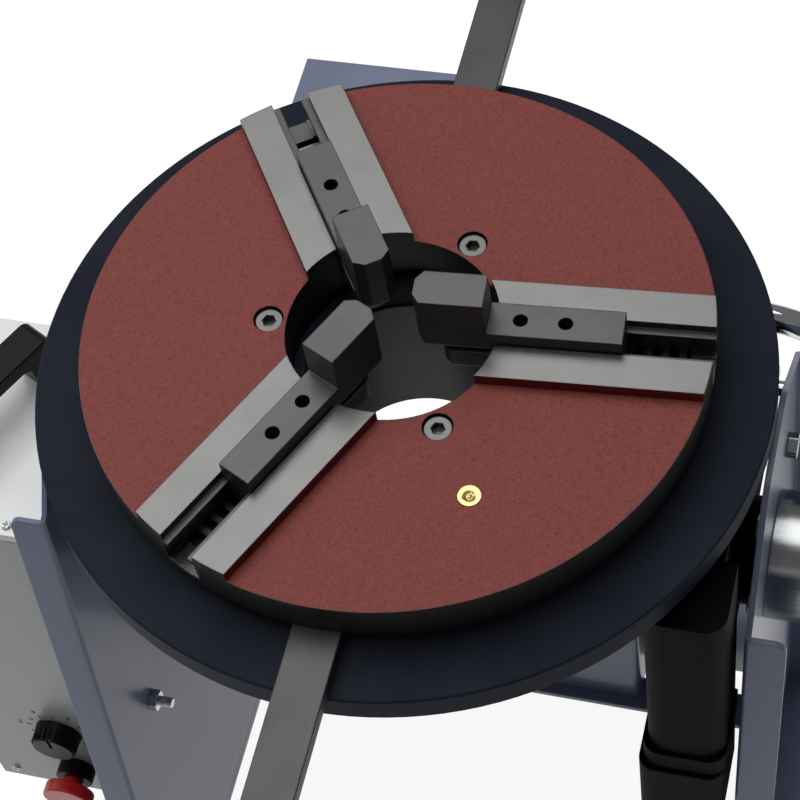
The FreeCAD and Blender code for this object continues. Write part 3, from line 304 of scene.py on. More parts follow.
def cast_grain_group():
    """Height and tone of a rough cast surface: fine grain with pits."""
    group, entry, leave = new_group(
        "Cast grain", [("Scale", FLOAT, 800.0), ("Pits", FLOAT, 0.5)],
        [("Height", FLOAT, None), ("Tone", FLOAT, None)])
    point = object_point(group)
    fine = noise(group, point, entry.outputs["Scale"], 3.0, 0.6)
    coarse_scale = math_node(group, "MULTIPLY", entry.outputs["Scale"], 0.28)
    coarse = noise(group, point, coarse_scale, 3.0, 0.5)
    cells = group.nodes.new("ShaderNodeTexVoronoi")
    group.links.new(point, cells.inputs["Vector"])
    group.links.new(math_node(group, "MULTIPLY", entry.outputs["Scale"], 0.35),
                    cells.inputs["Scale"])
    pit = ramp(group, cells.outputs["Distance"], 0.02, 0.30)
    pit = math_node(group, "MULTIPLY", math_node(group, "SUBTRACT", 1.0, pit),
                    entry.outputs["Pits"])
    both = math_node(group, "ADD", math_node(group, "MULTIPLY", fine, 0.6),
                     math_node(group, "MULTIPLY", coarse, 0.8))
    height = math_node(group, "SUBTRACT", both, pit)
    group.links.new(height, leave.inputs["Height"])
    group.links.new(ramp(group, height, 0.35, 1.0), leave.inputs["Tone"])
    return group


def ground_finish_group():
    """Fine parallel grinding lines along the piece's own X axis once turned by an angle."""
    group, entry, leave = new_group(
        "Ground finish", [("Turn", FLOAT, 0.0), ("Density", FLOAT, 900.0)],
        [("Lines", FLOAT, None), ("Cloud", FLOAT, None)])
    turn = group.nodes.new("ShaderNodeVectorRotate")
    turn.rotation_type = "Z_AXIS"
    point = object_point(group)
    group.links.new(point, turn.inputs["Vector"])
    group.links.new(math_node(group, "MULTIPLY", entry.outputs["Turn"], -1.0),
                    turn.inputs["Angle"])
    stretch = group.nodes.new("ShaderNodeVectorMath")
    stretch.operation = "MULTIPLY"
    stretch.inputs[1].default_value = (0.03, 1.0, 1.0)
    group.links.new(turn.outputs["Vector"], stretch.inputs[0])
    lines = noise(group, stretch.outputs["Vector"], entry.outputs["Density"], 5.0, 0.7)
    group.links.new(lines, leave.inputs["Lines"])
    group.links.new(noise(group, point, 45.0, 5.0, 0.6), leave.inputs["Cloud"])
    return group


def dust_group():
    """A mask of faces that look up and a soft overall cloudiness: thin dust on paint, and a
    painted sheen on moulded plastic.
    """
    group, entry, leave = new_group(
        "Dust", [("Amount", FLOAT, 0.2)], [("Mask", FLOAT, None), ("Cloud", FLOAT, None)])
    flat = group.nodes.new("ShaderNodeNewGeometry")
    split = group.nodes.new("ShaderNodeSeparateXYZ")
    group.links.new(flat.outputs["Normal"], split.inputs["Vector"])
    upward = ramp(group, split.outputs["Z"], 0.3, 1.0)
    cloud = noise(group, object_point(group), 14.0, 6.0, 0.6)
    mask = math_node(group, "MULTIPLY", upward, ramp(group, cloud, 0.35, 0.75))
    mask = math_node(group, "MULTIPLY", mask, entry.outputs["Amount"], clamp=True)
    group.links.new(mask, leave.inputs["Mask"])
    group.links.new(cloud, leave.inputs["Cloud"])
    return group


GROUPS = {}


def shared(name):
    """One group of each kind for the whole file."""
    makers = {"wear": edge_wear_group, "cast": cast_grain_group, "ground": ground_finish_group,
              "dust": dust_group}
    if name not in GROUPS:
        GROUPS[name] = makers[name]()
    return GROUPS[name]


def place_group(tree, name, **values):
    node = tree.nodes.new("ShaderNodeGroup")
    node.node_tree = shared(name)
    for label, value in values.items():
        node.inputs[label].default_value = value
    return node


# ---- materials -----------------------------------------------------------------------------

def new_material(name, roughness, metallic=0.0, coat=0.0, specular=0.5):
    surface = bpy.data.materials.new(name)
    surface.use_nodes = True
    tree = surface.node_tree
    shader = tree.nodes["Principled BSDF"]
    shader.inputs["Roughness"].default_value = roughness
    shader.inputs["Metallic"].default_value = metallic
    shader.inputs["Coat Weight"].default_value = coat
    shader.inputs["Coat Roughness"].default_value = 0.12
    shader.inputs["Specular IOR Level"].default_value = specular
    return surface, tree, shader


def bump(tree, height, strength, distance, normal):
    node = tree.nodes.new("ShaderNodeBump")
    node.inputs["Strength"].default_value = strength
    node.inputs["Distance"].default_value = distance
    tree.links.new(height, node.inputs["Height"])
    tree.links.new(normal, node.inputs["Normal"])
    return node.outputs["Normal"]


def scaled(colour, factor):
    return tuple(min(1.0, part * factor) for part in colour[:3]) + (1.0,)


DUST = (0.50, 0.48, 0.45, 1.0)
BARE_METAL = (0.32, 0.32, 0.33, 1.0)
PAINT_EDGE = 0.0012
CAST_EDGE = 0.0010
STEEL_EDGE = 0.0008
PEEL_SCALE = 420.0
PEEL_HEIGHT = 0.00015
SPECKLE_SCALE = 900.0
CAST_HEIGHT = 0.0006
LINE_HEIGHT = 0.0002
MOULD_SCALE = 1600.0
MOULD_HEIGHT = 0.0002


def painted(name, colour, roughness, coat, wear=0.2, dust=0.08, specular=0.5):
    """Paint with faint orange peel, soft cloudiness, dust on top and thin wear along the edges."""
    surface, tree, shader = new_material(name, roughness, coat=coat, specular=specular)
    edge = place_group(tree, "wear", Radius=PAINT_EDGE, Amount=wear)
    dust_and_sheen = place_group(tree, "dust", Amount=dust)
    tone = mix_colour(tree, ramp(tree, dust_and_sheen.outputs["Cloud"], 0.3, 0.7),
                      scaled(colour, 0.95), scaled(colour, 1.05))
    tone = mix_colour(tree, dust_and_sheen.outputs["Mask"], tone, DUST)
    tone = mix_colour(tree, edge.outputs["Mask"], tone, BARE_METAL)
    tree.links.new(tone, shader.inputs["Base Color"])
    peel = noise(tree, object_point(tree), PEEL_SCALE, 2.0, 0.5)
    tree.links.new(bump(tree, peel, 0.2, PEEL_HEIGHT, edge.outputs["Normal"]),
                   shader.inputs["Normal"])
    rough = math_node(tree, "ADD", math_node(tree, "MULTIPLY", dust_and_sheen.outputs["Cloud"], 0.12),
                      roughness - 0.05)
    tree.links.new(rough, shader.inputs["Roughness"])
    return surface


def cast_paint(name, colour, dark, scale=None, strength=0.55, roughness=0.55, specular=0.25):
    """Paint over an unmachined casting: grain, pits, darker speckle and edges lightened as a
    painted highlight.
    """
    surface, tree, shader = new_material(name, roughness, specular=specular)
    grain_scale = 1.0 / edges().grain if scale is None else scale
    grain = place_group(tree, "cast", Scale=grain_scale, Pits=0.55)
    edge = place_group(tree, "wear", Radius=CAST_EDGE, Amount=0.15)
    speckle = noise(tree, object_point(tree), SPECKLE_SCALE, 6.0, 0.65)
    tone = mix_colour(tree, grain.outputs["Tone"], scaled(colour, 0.80), scaled(colour, 1.10))
    tone = mix_colour(tree, ramp(tree, speckle, 0.30, 0.55), srgb(*dark), tone)
    # Painted highlight: along the edge mask the paint turns 1.7 times brighter in its own colour.
    tone = mix_colour(tree, edge.outputs["Mask"], tone, scaled(colour, 1.7))
    tree.links.new(tone, shader.inputs["Base Color"])
    tree.links.new(bump(tree, grain.outputs["Height"], strength, CAST_HEIGHT,
                        edge.outputs["Normal"]), shader.inputs["Normal"])
    return surface


def bare_steel(name, colour, roughness, turn=0.0, metallic=1.0, stain=0.25, line_strength=0.25):
    """Ground or brushed steel: fine lines, cloudy stain and bright edges, worn and lightened as a
    painted highlight.
    """
    surface, tree, shader = new_material(name, roughness, metallic=metallic)
    ground = place_group(tree, "ground", Turn=turn)
    edge = place_group(tree, "wear", Radius=STEEL_EDGE, Amount=0.5)
    line = ramp(tree, ground.outputs["Lines"], 0.25, 0.75)
    tone = mix_colour(tree, line, scaled(colour, 0.86), scaled(colour, 1.10))
    stained = math_node(tree, "MULTIPLY", ramp(tree, ground.outputs["Cloud"], 0.45, 0.75), stain)
    tone = mix_colour(tree, stained, tone, scaled(colour, 0.55))
    # Worn edges, lightened to 1.5 times the steel's colour as a painted highlight.
    tone = mix_colour(tree, edge.outputs["Mask"], tone, scaled(colour, 1.5))
    tree.links.new(tone, shader.inputs["Base Color"])
    rough = math_node(tree, "ADD", math_node(tree, "MULTIPLY", line, 0.14), roughness - 0.07)
    tree.links.new(rough, shader.inputs["Roughness"])
    tree.links.new(bump(tree, ground.outputs["Lines"], line_strength, LINE_HEIGHT,
                        edge.outputs["Normal"]), shader.inputs["Normal"])
    return surface


def moulded(name, colour, roughness=0.42, specular=0.5):
    """Moulded plastic with a fine grain; faces that look up get a lighter copy of its colour, a
    painted sheen.
    """
    surface, tree, shader = new_material(name, roughness, specular=specular)
    edge = place_group(tree, "wear", Radius=STEEL_EDGE, Amount=0.2)
    dust_and_sheen = place_group(tree, "dust", Amount=0.10)
    # Painted sheen: faces that look up, broken by the cloud, turn 2.2 times brighter in the
    # plastic's own colour.
    tone = mix_colour(tree, dust_and_sheen.outputs["Mask"], colour, scaled(colour, 2.2))
    tree.links.new(tone, shader.inputs["Base Color"])
    grain = noise(tree, object_point(tree), MOULD_SCALE, 3.0, 0.6)
    tree.links.new(bump(tree, grain, 0.25, MOULD_HEIGHT, edge.outputs["Normal"]),
                   shader.inputs["Normal"])
    return surface


# Each finish: how it is made, its colour (a name in FinishColours, or 0 to 255) and its settings.
FINISHES = {
    "slate paint": (painted, "slate", {"roughness": 0.38, "coat": 0.2, "specular": 0.22}),
    "navy paint": (painted, "navy", {"roughness": 0.55, "coat": 0.0, "wear": 0.05,
                                     "dust": 0.02, "specular": 0.05}),
    "cabinet paint": (painted, "cabinet", {"roughness": 0.36, "coat": 0.3, "wear": 0.08,
                                           "dust": 0.04}),
    # The front panel is a darker copy of the cabinet's light grey: painted shade on the face that
    # looks forward.
    "cabinet front paint": (painted, (150, 152, 152), {"roughness": 0.4, "coat": 0.15,
                                                       "wear": 0.1, "dust": 0.03}),
    "chuck red": (cast_paint, "oxide", {"dark": (98, 49, 45)}),
    "chuck step red": (cast_paint, (96, 22, 22), {"dark": (60, 14, 14), "strength": 0.3,
                                                  "roughness": 0.4}),
    "black casting": (cast_paint, "casting", {"dark": (8, 8, 9), "scale": 600.0,
                                              "strength": 0.35, "roughness": 0.6,
                                              "specular": 0.03}),
    "chuck side": (bare_steel, (48, 48, 44), {"roughness": 0.45, "metallic": 0.7}),
    "slot steel": (bare_steel, (86, 86, 84), {"roughness": 0.42}),
    "jaw steel": (bare_steel, "blued", {"roughness": 0.40, "metallic": 0.85, "stain": 0.35}),
    "lever steel": (bare_steel, (76, 76, 76), {"roughness": 0.42, "metallic": 0.85,
                                               "stain": 0.4, "turn": math.pi / 2}),
    "scroll steel": (bare_steel, (120, 120, 116), {"roughness": 0.38}),
    "machined steel": (bare_steel, (168, 170, 168), {"roughness": 0.32}),
    "screw steel": (bare_steel, (104, 104, 102), {"roughness": 0.36}),
    "hub steel": (bare_steel, (178, 180, 180), {"roughness": 0.2, "stain": 0.1}),
    "zinc": (bare_steel, (200, 202, 206), {"roughness": 0.25, "stain": 0.1}),
    "chrome": (bare_steel, (225, 226, 228), {"roughness": 0.09, "stain": 0.02,
                                             "line_strength": 0.02}),
    "brass": (bare_steel, "brass", {"roughness": 0.25, "stain": 0.15}),
    "bore black": (bare_steel, (20, 20, 20), {"roughness": 0.5, "metallic": 0.5}),
    "black plastic": (moulded, (14, 14, 15), {"specular": 0.15}),
    "red plastic": (moulded, (188, 22, 20), {"roughness": 0.28}),
}
for way, way_turn in enumerate(WAY_TURNS):
    FINISHES["ground way %d" % way] = (bare_steel, "ground", {"roughness": 0.34,
                                                              "turn": way_turn})

MATERIALS = {}


def material(name):
    """Each finish is made once, when it is first asked for."""
    if name not in MATERIALS:
        maker, colour, settings = FINISHES[name]
        if isinstance(colour, str):
            tint = tuple(getattr(colours(), colour))
        else:
            tint = srgb(*colour)
        MATERIALS[name] = maker(name, tint, **settings)
    return MATERIALS[name]


# ---- meshes --------------------------------------------------------------------------------

def add_object(name, mesh):
    obj = bpy.data.objects.new(name, mesh)
    bpy.context.scene.collection.objects.link(obj)
    return obj


def apply_modifiers(obj):
    """Turn an object and its modifiers into one plain mesh."""
    graph = bpy.context.evaluated_depsgraph_get()
    graph.update()
    mesh = bpy.data.meshes.new_from_object(obj.evaluated_get(graph))
    old = obj.data
    obj.modifiers.clear()
    obj.data = mesh
    if old.users == 0:
        bpy.data.meshes.remove(old)
    return obj


MERGE = 1e-6
FLAT_ANGLE = math.radians(0.35)


def clean_copy(node):
    """A merged copy of a node's mesh with its flat faces joined up again."""
    source = frame["nodes"][node].data
    mesh = bpy.data.meshes.new(node + "_finish")
    mesh.from_pydata([vertex.co[:] for vertex in source.vertices], [],
                     [face.vertices[:] for face in source.polygons])
    work = bmesh.new()
    work.from_mesh(mesh)
    bmesh.ops.remove_doubles(work, verts=work.verts, dist=MERGE)
    bmesh.ops.dissolve_limit(work, angle_limit=FLAT_ANGLE, verts=work.verts,
                             edges=work.edges)
    bmesh.ops.recalc_face_normals(work, faces=work.faces)
    work.to_mesh(mesh)
    work.free()
    return mesh


def shade(mesh, angle=32):
    """Smooth shading with sharp edges past an angle."""
    mesh.shade_smooth()
    mesh.set_sharp_from_angle(angle=math.radians(angle))


def chamfer(obj, width, angle=32):
    """Round off every edge that is sharper than an angle."""
    modifier = obj.modifiers.new("edges", "BEVEL")
    modifier.width = width
    modifier.segments = 2
    modifier.limit_method = "ANGLE"
    modifier.angle_limit = math.radians(angle)
    modifier.harden_normals = True
    modifier.miter_outer = "MITER_ARC"
    return apply_modifiers(obj)


def stand_for(obj, node):
    """The piece takes a node's body and place, and the node is hidden."""
    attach(obj, BODY_OF[node])
    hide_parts(node)
    return obj


def dressed(node, finish, edge=0.0, angle=32):
    """A clean, softly edged copy of a node with its finish."""
    obj = add_object(node + "_finish", clean_copy(node))
    shade(obj.data, angle)
    if edge > 0:
        chamfer(obj, edge, angle)
    obj.data.materials.clear()
    obj.data.materials.append(material(finish))
    return stand_for(obj, node)


def paint_faces(obj, finishes, choose):
    """Give every face the finish whose name a rule returns."""
    obj.data.materials.clear()
    for name in finishes:
        obj.data.materials.append(material(name))
    for face in obj.data.polygons:
        face.material_index = finishes.index(choose(face.center, face.normal))


# ---- repeated details ----------------------------------------------------------------------

def new_tree(name, inputs):
    """A geometry tree with named inputs: (name, socket type, default)."""
    tree = bpy.data.node_groups.new(name, "GeometryNodeTree")
    tree.interface.new_socket("Geometry", in_out="INPUT", socket_type="NodeSocketGeometry")
    for label, kind, default in inputs:
        socket = tree.interface.new_socket(label, in_out="INPUT", socket_type=kind)
        if default is not None:
            socket.default_value = default
    tree.interface.new_socket("Geometry", in_out="OUTPUT", socket_type="NodeSocketGeometry")
    return tree, tree.nodes.new("NodeGroupInput"), tree.nodes.new("NodeGroupOutput")


def finish_tree(tree, entry, leave, geometry):
    """Every tree ends in plain geometry that has its material."""
    plain = tree.nodes.new("GeometryNodeRealizeInstances")
    paint = tree.nodes.new("GeometryNodeSetMaterial")
    tree.links.new(geometry, plain.inputs["Geometry"])
    tree.links.new(plain.outputs["Geometry"], paint.inputs["Geometry"])
    tree.links.new(entry.outputs["Material"], paint.inputs["Material"])
    tree.links.new(paint.outputs["Geometry"], leave.inputs["Geometry"])
    return tree


def thread_tree():
    """A screw thread: a three-sided ridge swept along a helix round Z."""
    tree, entry, leave = new_tree("Screw thread", [
        ("Radius", FLOAT, 0.003), ("Pitch", FLOAT, 0.001), ("Turns", FLOAT, 8.0),
        ("Ridge", FLOAT, 0.0004), ("Material", "NodeSocketMaterial", None)])
    helix = tree.nodes.new("GeometryNodeCurveSpiral")
    helix.inputs["Resolution"].default_value = 20
    tree.links.new(entry.outputs["Turns"], helix.inputs["Rotations"])
    for name in ("Start Radius", "End Radius"):
        tree.links.new(entry.outputs["Radius"], helix.inputs[name])
    height = math_node(tree, "MULTIPLY", entry.outputs["Pitch"], entry.outputs["Turns"])
    tree.links.new(height, helix.inputs["Height"])
    section = tree.nodes.new("GeometryNodeCurvePrimitiveCircle")
    section.inputs["Resolution"].default_value = 3
    tree.links.new(entry.outputs["Ridge"], section.inputs["Radius"])
    sweep = tree.nodes.new("GeometryNodeCurveToMesh")
    sweep.inputs["Fill Caps"].default_value = True
    tree.links.new(helix.outputs["Curve"], sweep.inputs["Curve"])
    tree.links.new(section.outputs["Curve"], sweep.inputs["Profile Curve"])
    return finish_tree(tree, entry, leave, sweep.outputs["Mesh"])


def screw_tree():
    """A pan head screw with a cross slot on every point, heads up along Z."""
    tree, entry, leave = new_tree("Pan head screws", [
        ("Radius", FLOAT, 0.003), ("Height", FLOAT, 0.0018), ("Slot", FLOAT, 0.0009),
        ("Material", "NodeSocketMaterial", None)])
    head = tree.nodes.new("GeometryNodeMeshCone")
    head.inputs["Vertices"].default_value = 24
    crown = math_node(tree, "MULTIPLY", entry.outputs["Radius"], 0.7)
    tree.links.new(crown, head.inputs["Radius Top"])
    tree.links.new(entry.outputs["Radius"], head.inputs["Radius Bottom"])
    tree.links.new(entry.outputs["Height"], head.inputs["Depth"])
    cross = tree.nodes.new("GeometryNodeMeshBoolean")
    cross.operation = "DIFFERENCE"
    tree.links.new(head.outputs["Mesh"], cross.inputs["Mesh 1"])
    reach = math_node(tree, "MULTIPLY", entry.outputs["Radius"], 1.1)
    for first, second in ((reach, entry.outputs["Slot"]), (entry.outputs["Slot"], reach)):
        size = tree.nodes.new("ShaderNodeCombineXYZ")
        tree.links.new(first, size.inputs["X"])
        tree.links.new(second, size.inputs["Y"])
        tree.links.new(entry.outputs["Height"], size.inputs["Z"])
        bar = tree.nodes.new("GeometryNodeMeshCube")
        tree.links.new(size.outputs["Vector"], bar.inputs["Size"])
        lift = tree.nodes.new("GeometryNodeTransform")
        rise = tree.nodes.new("ShaderNodeCombineXYZ")
        tree.links.new(entry.outputs["Height"], rise.inputs["Z"])
        tree.links.new(rise.outputs["Vector"], lift.inputs["Translation"])
        tree.links.new(bar.outputs["Mesh"], lift.inputs["Geometry"])
        tree.links.new(lift.outputs["Geometry"], cross.inputs["Mesh 2"])
    spread = tree.nodes.new("GeometryNodeInstanceOnPoints")
    tree.links.new(entry.outputs["Geometry"], spread.inputs["Points"])
    tree.links.new(cross.outputs["Mesh"], spread.inputs["Instance"])
    return finish_tree(tree, entry, leave, spread.outputs["Instances"])


def ring_tree():
    """Bars spread evenly round Z over part of a circle, such as flutes or scale marks."""
    tree, entry, leave = new_tree("Ring of bars", [
        ("Count", "NodeSocketInt", 24), ("Radius", FLOAT, 0.015), ("Start", FLOAT, 0.0),
        ("Sweep", FLOAT, 2 * math.pi), ("Length", FLOAT, 0.002), ("Width", FLOAT, 0.0006),
        ("Height", FLOAT, 0.001), ("Material", "NodeSocketMaterial", None)])
    line = tree.nodes.new("GeometryNodeMeshLine")
    line.inputs["Offset"].default_value = (0.0, 0.0, 0.0)
    tree.links.new(entry.outputs["Count"], line.inputs["Count"])
    size = tree.nodes.new("ShaderNodeCombineXYZ")
    for label, axis in (("Length", "X"), ("Width", "Y"), ("Height", "Z")):
        tree.links.new(entry.outputs[label], size.inputs[axis])
    bar = tree.nodes.new("GeometryNodeMeshCube")
    tree.links.new(size.outputs["Vector"], bar.inputs["Size"])
    shifted = tree.nodes.new("GeometryNodeTransform")
    away = tree.nodes.new("ShaderNodeCombineXYZ")
    tree.links.new(entry.outputs["Radius"], away.inputs["X"])
    tree.links.new(away.outputs["Vector"], shifted.inputs["Translation"])
    tree.links.new(bar.outputs["Mesh"], shifted.inputs["Geometry"])
    index = tree.nodes.new("GeometryNodeInputIndex")
    step = math_node(tree, "DIVIDE", entry.outputs["Sweep"], entry.outputs["Count"])
    turn = math_node(tree, "ADD", math_node(tree, "MULTIPLY", index.outputs["Index"], step),
                     entry.outputs["Start"])
    angles = tree.nodes.new("ShaderNodeCombineXYZ")
    tree.links.new(turn, angles.inputs["Z"])
    spread = tree.nodes.new("GeometryNodeInstanceOnPoints")
    tree.links.new(line.outputs["Mesh"], spread.inputs["Points"])
    tree.links.new(shifted.outputs["Geometry"], spread.inputs["Instance"])
    tree.links.new(angles.outputs["Vector"], spread.inputs["Rotation"])
    return finish_tree(tree, entry, leave, spread.outputs["Instances"])


TREES = {}


def repeated(name, kind, body, finish, place=Matrix(), points=((0, 0, 0),), **settings):
    """Run one of the trees on some points, keep its mesh and put that mesh in its place."""
    makers = {"thread": thread_tree, "screws": screw_tree, "ring": ring_tree}
    if kind not in TREES:
        TREES[kind] = makers[kind]()
    tree = TREES[kind]
    mesh = bpy.data.meshes.new(name)
    mesh.from_pydata([tuple(point) for point in points], [], [])
    obj = add_object(name, mesh)
    modifier = obj.modifiers.new(kind, "NODES")
    modifier.node_group = tree
    settings["Material"] = material(finish)
    for item in tree.interface.items_tree:
        if item.in_out == "INPUT" and item.name in settings:
            modifier[item.identifier] = settings[item.name]
    apply_modifiers(obj)
    if not obj.data.polygons:
        raise RuntimeError("%s came out empty" % name)
    obj.data.transform(place)
    obj.data.update()
    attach(obj, body)
    return obj


TO_PLUS_X = Matrix.Rotation(math.radians(90), 4, "Y")
TO_MINUS_Y = Matrix.Rotation(math.radians(90), 4, "X")


# ---- chuck ---------------------------------------------------------------------------------

def way_frame(point):
    """The nearest way's number, with the distance along it and across it."""
    best = None
    for number, turn in enumerate(WAY_TURNS):
        along = point.x * math.cos(turn) + point.y * math.sin(turn)
        across = -point.x * math.sin(turn) + point.y * math.cos(turn)
        if along > 0 and (best is None or abs(across) < abs(best[2])):
            best = (number, along, across)
    return best


def chuck_finish(point, normal):
    """Which finish a face of the chuck's casting has."""
    radius = math.hypot(point.x, point.y)
    depth = CHUCK_TOP - point.z
    number, along, across = way_frame(point)
    if normal.z > 0.9 and depth < TOP_SKIN:
        return "ground way %d" % number
    if abs(across) < SLOT_HALF + SKIN and radius > SLOT_START and depth < SLOT_DEPTH:
        return "slot steel"
    if radius > CHUCK_RADIUS - 2 * SKIN and abs(depth - CAST_DROP) < CAST_SKIN:
        return "screw steel"
    if radius > CHUCK_RADIUS - 4 * SKIN and depth > CAST_DROP - 2 * SKIN:
        return "chuck side"
    if radius < BORE_REACH:
        return "bore black"
    if depth < CAST_DROP - SKIN:
        return "chuck step red"
    if normal.z > 0.5 and depth < CAST_DROP + 2 * CAST_SKIN:
        return "chuck red"
    return "chuck side"


class POSITIONER_OT_chuck(bpy.types.Operator):
    """Casting of the chuck with its ground ways, screws and oiler"""

    bl_idname = "positioner.chuck"
    bl_label = "Chuck"

    def execute(self, context):
        obj = add_object("chuck_body_finish", clean_copy("chuck_body"))
        shade(obj.data)
        chamfer(obj, edges().steel_edge)
        finishes = ["chuck red", "chuck step red", "chuck side", "slot steel", "bore black",
                    "screw steel"]
        finishes += ["ground way %d" % number for number in range(3)]
        paint_faces(obj, finishes, chuck_finish)
        stand_for(obj, "chuck_body")
        dressed("chuck_cap_screws", "screw steel", edges().steel_edge)
        dressed("ball_oiler", "brass", OILER_EDGE)
        return {"FINISHED"}


class POSITIONER_OT_jaws(bpy.types.Operator):
    """The three hard jaws"""

    bl_idname = "positioner.jaws"
    bl_label = "Jaws"

    def execute(self, context):
        for number in range(3):
            dressed("jaw_%d" % (number + 1), "jaw steel", edges().steel_edge * JAW_EDGE_RATIO)
        return {"FINISHED"}


class POSITIONER_OT_scroll(bpy.types.Operator):
    """Scroll ring and its two levers"""

    bl_idname = "positioner.scroll"
    bl_label = "Scroll and levers"

    def execute(self, context):
        dressed("scroll_plate", "scroll steel")
        for node in ("front_scroll_lever", "rear_scroll_lever"):
            dressed(node, "lever steel", LEVER_EDGE)
        return {"FINISHED"}


class POSITIONER_OT_table(bpy.types.Operator):
    """Round table, hollow spindle and locknut"""

    bl_idname = "positioner.table"
    bl_label = "Table"

    def execute(self, context):
        dressed("table_plate", "navy paint", edges().steel_edge)
        dressed("hollow_spindle", "bore black", edges().steel_edge)
        dressed("spindle_locknut", "machined steel", edges().steel_edge)
        return {"FINISHED"}


class POSITIONER_OT_cradle(bpy.types.Operator):
    """Tilting cradle with its castings, motor and trunnions"""

    bl_idname = "positioner.cradle"
    bl_label = "Cradle"

    def execute(self, context):
        for node in ("carrier_plate", "spindle_housing", "left_cheek", "tilt_gear_casting",
                     "tilt_gear_block", "table_drive_case"):
            dressed(node, "black casting", edges().cast_edge)
        for node in ("left_trunnion", "right_trunnion"):
            dressed(node, "black casting", edges().steel_edge)
        dressed("table_motor", "slate paint", edges().cast_edge)
        self.add_motor_cover()
        return {"FINISHED"}

    def add_motor_cover(self):
        """A folded sheet over the motor, open below and at both ends."""
        near, far = low("table_motor"), high("table_motor")
        left, right = near.x - COVER_LEFT, far.x + COVER_RIGHT
        foot, top = middle("table_motor").z, far.z + COVER_RISE
        front, back = near.y + COVER_SETBACK, far.y + COVER_RISE
        outline = [(left, foot), (left, top), (right, top), (right, foot),
                   (right - SHEET, foot), (right - SHEET, top - SHEET),
                   (left + SHEET, top - SHEET), (left + SHEET, foot)]
        count = len(outline)
        points = [(x, y, z) for y in (front, back) for x, z in outline]
        sides = [(spot, (spot + 1) % count, (spot + 1) % count + count, spot + count)
                 for spot in range(count)]
        mesh = bpy.data.meshes.new("motor_cover")
        mesh.from_pydata(points, [], sides + [tuple(range(count)), tuple(range(count, 2 * count))])
        work = bmesh.new()
        work.from_mesh(mesh)
        bmesh.ops.recalc_face_normals(work, faces=work.faces)
        work.to_mesh(mesh)
        work.free()
        cover = add_object("motor_cover", mesh)
        shade(mesh)
        chamfer(cover, SHEET / 4)
        cover.data.materials.append(material("slate paint"))
        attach(cover, BODY_OF["table_motor"])


class POSITIONER_OT_handwheel(bpy.types.Operator):
    """Chromed handwheel on the worm shaft"""

    bl_idname = "positioner.handwheel"
    bl_label = "Handwheel"

    def execute(self, context):
        dressed("tilt_handwheel", "chrome", WHEEL_EDGE, 40)
        dressed("tilt_worm_shaft", "machined steel", edges().steel_edge)
        return {"FINISHED"}


class POSITIONER_OT_stand(bpy.types.Operator):
    """Folded side plates, feet, tie strip, cross box and rear panel"""

    bl_idname = "positioner.stand"
    bl_label = "Stand"

    def execute(self, context):
        for node in ("left_side_plate", "right_side_plate", "left_foot", "right_foot",
                     "tie_strip", "cross_box", "rear_panel"):
            dressed(node, "slate paint", edges().sheet_edge)
        for node in ("left_bearing_hub", "right_bearing_hub"):
            dressed(node, "hub steel", edges().steel_edge)
        for node in ("left_hub_bolts", "right_hub_bolts", "right_stop_bolt", "left_strap_bolt"):
            dressed(node, "zinc", BOLT_EDGE)
        bolt = middle("left_strap_bolt")
        start = high("left_side_plate").x + BOLT_HEAD
        turns = (high("left_strap_bolt").x - start) / BOLT_PITCH - THREAD_RUNOUT_TURNS
        repeated("strap_bolt_thread", "thread", "stand", "zinc",
                 Matrix.Translation((start, bolt.y, bolt.z)) @ TO_PLUS_X,
                 Radius=BOLT_RADIUS, Pitch=BOLT_PITCH, Turns=turns)
        return {"FINISHED"}


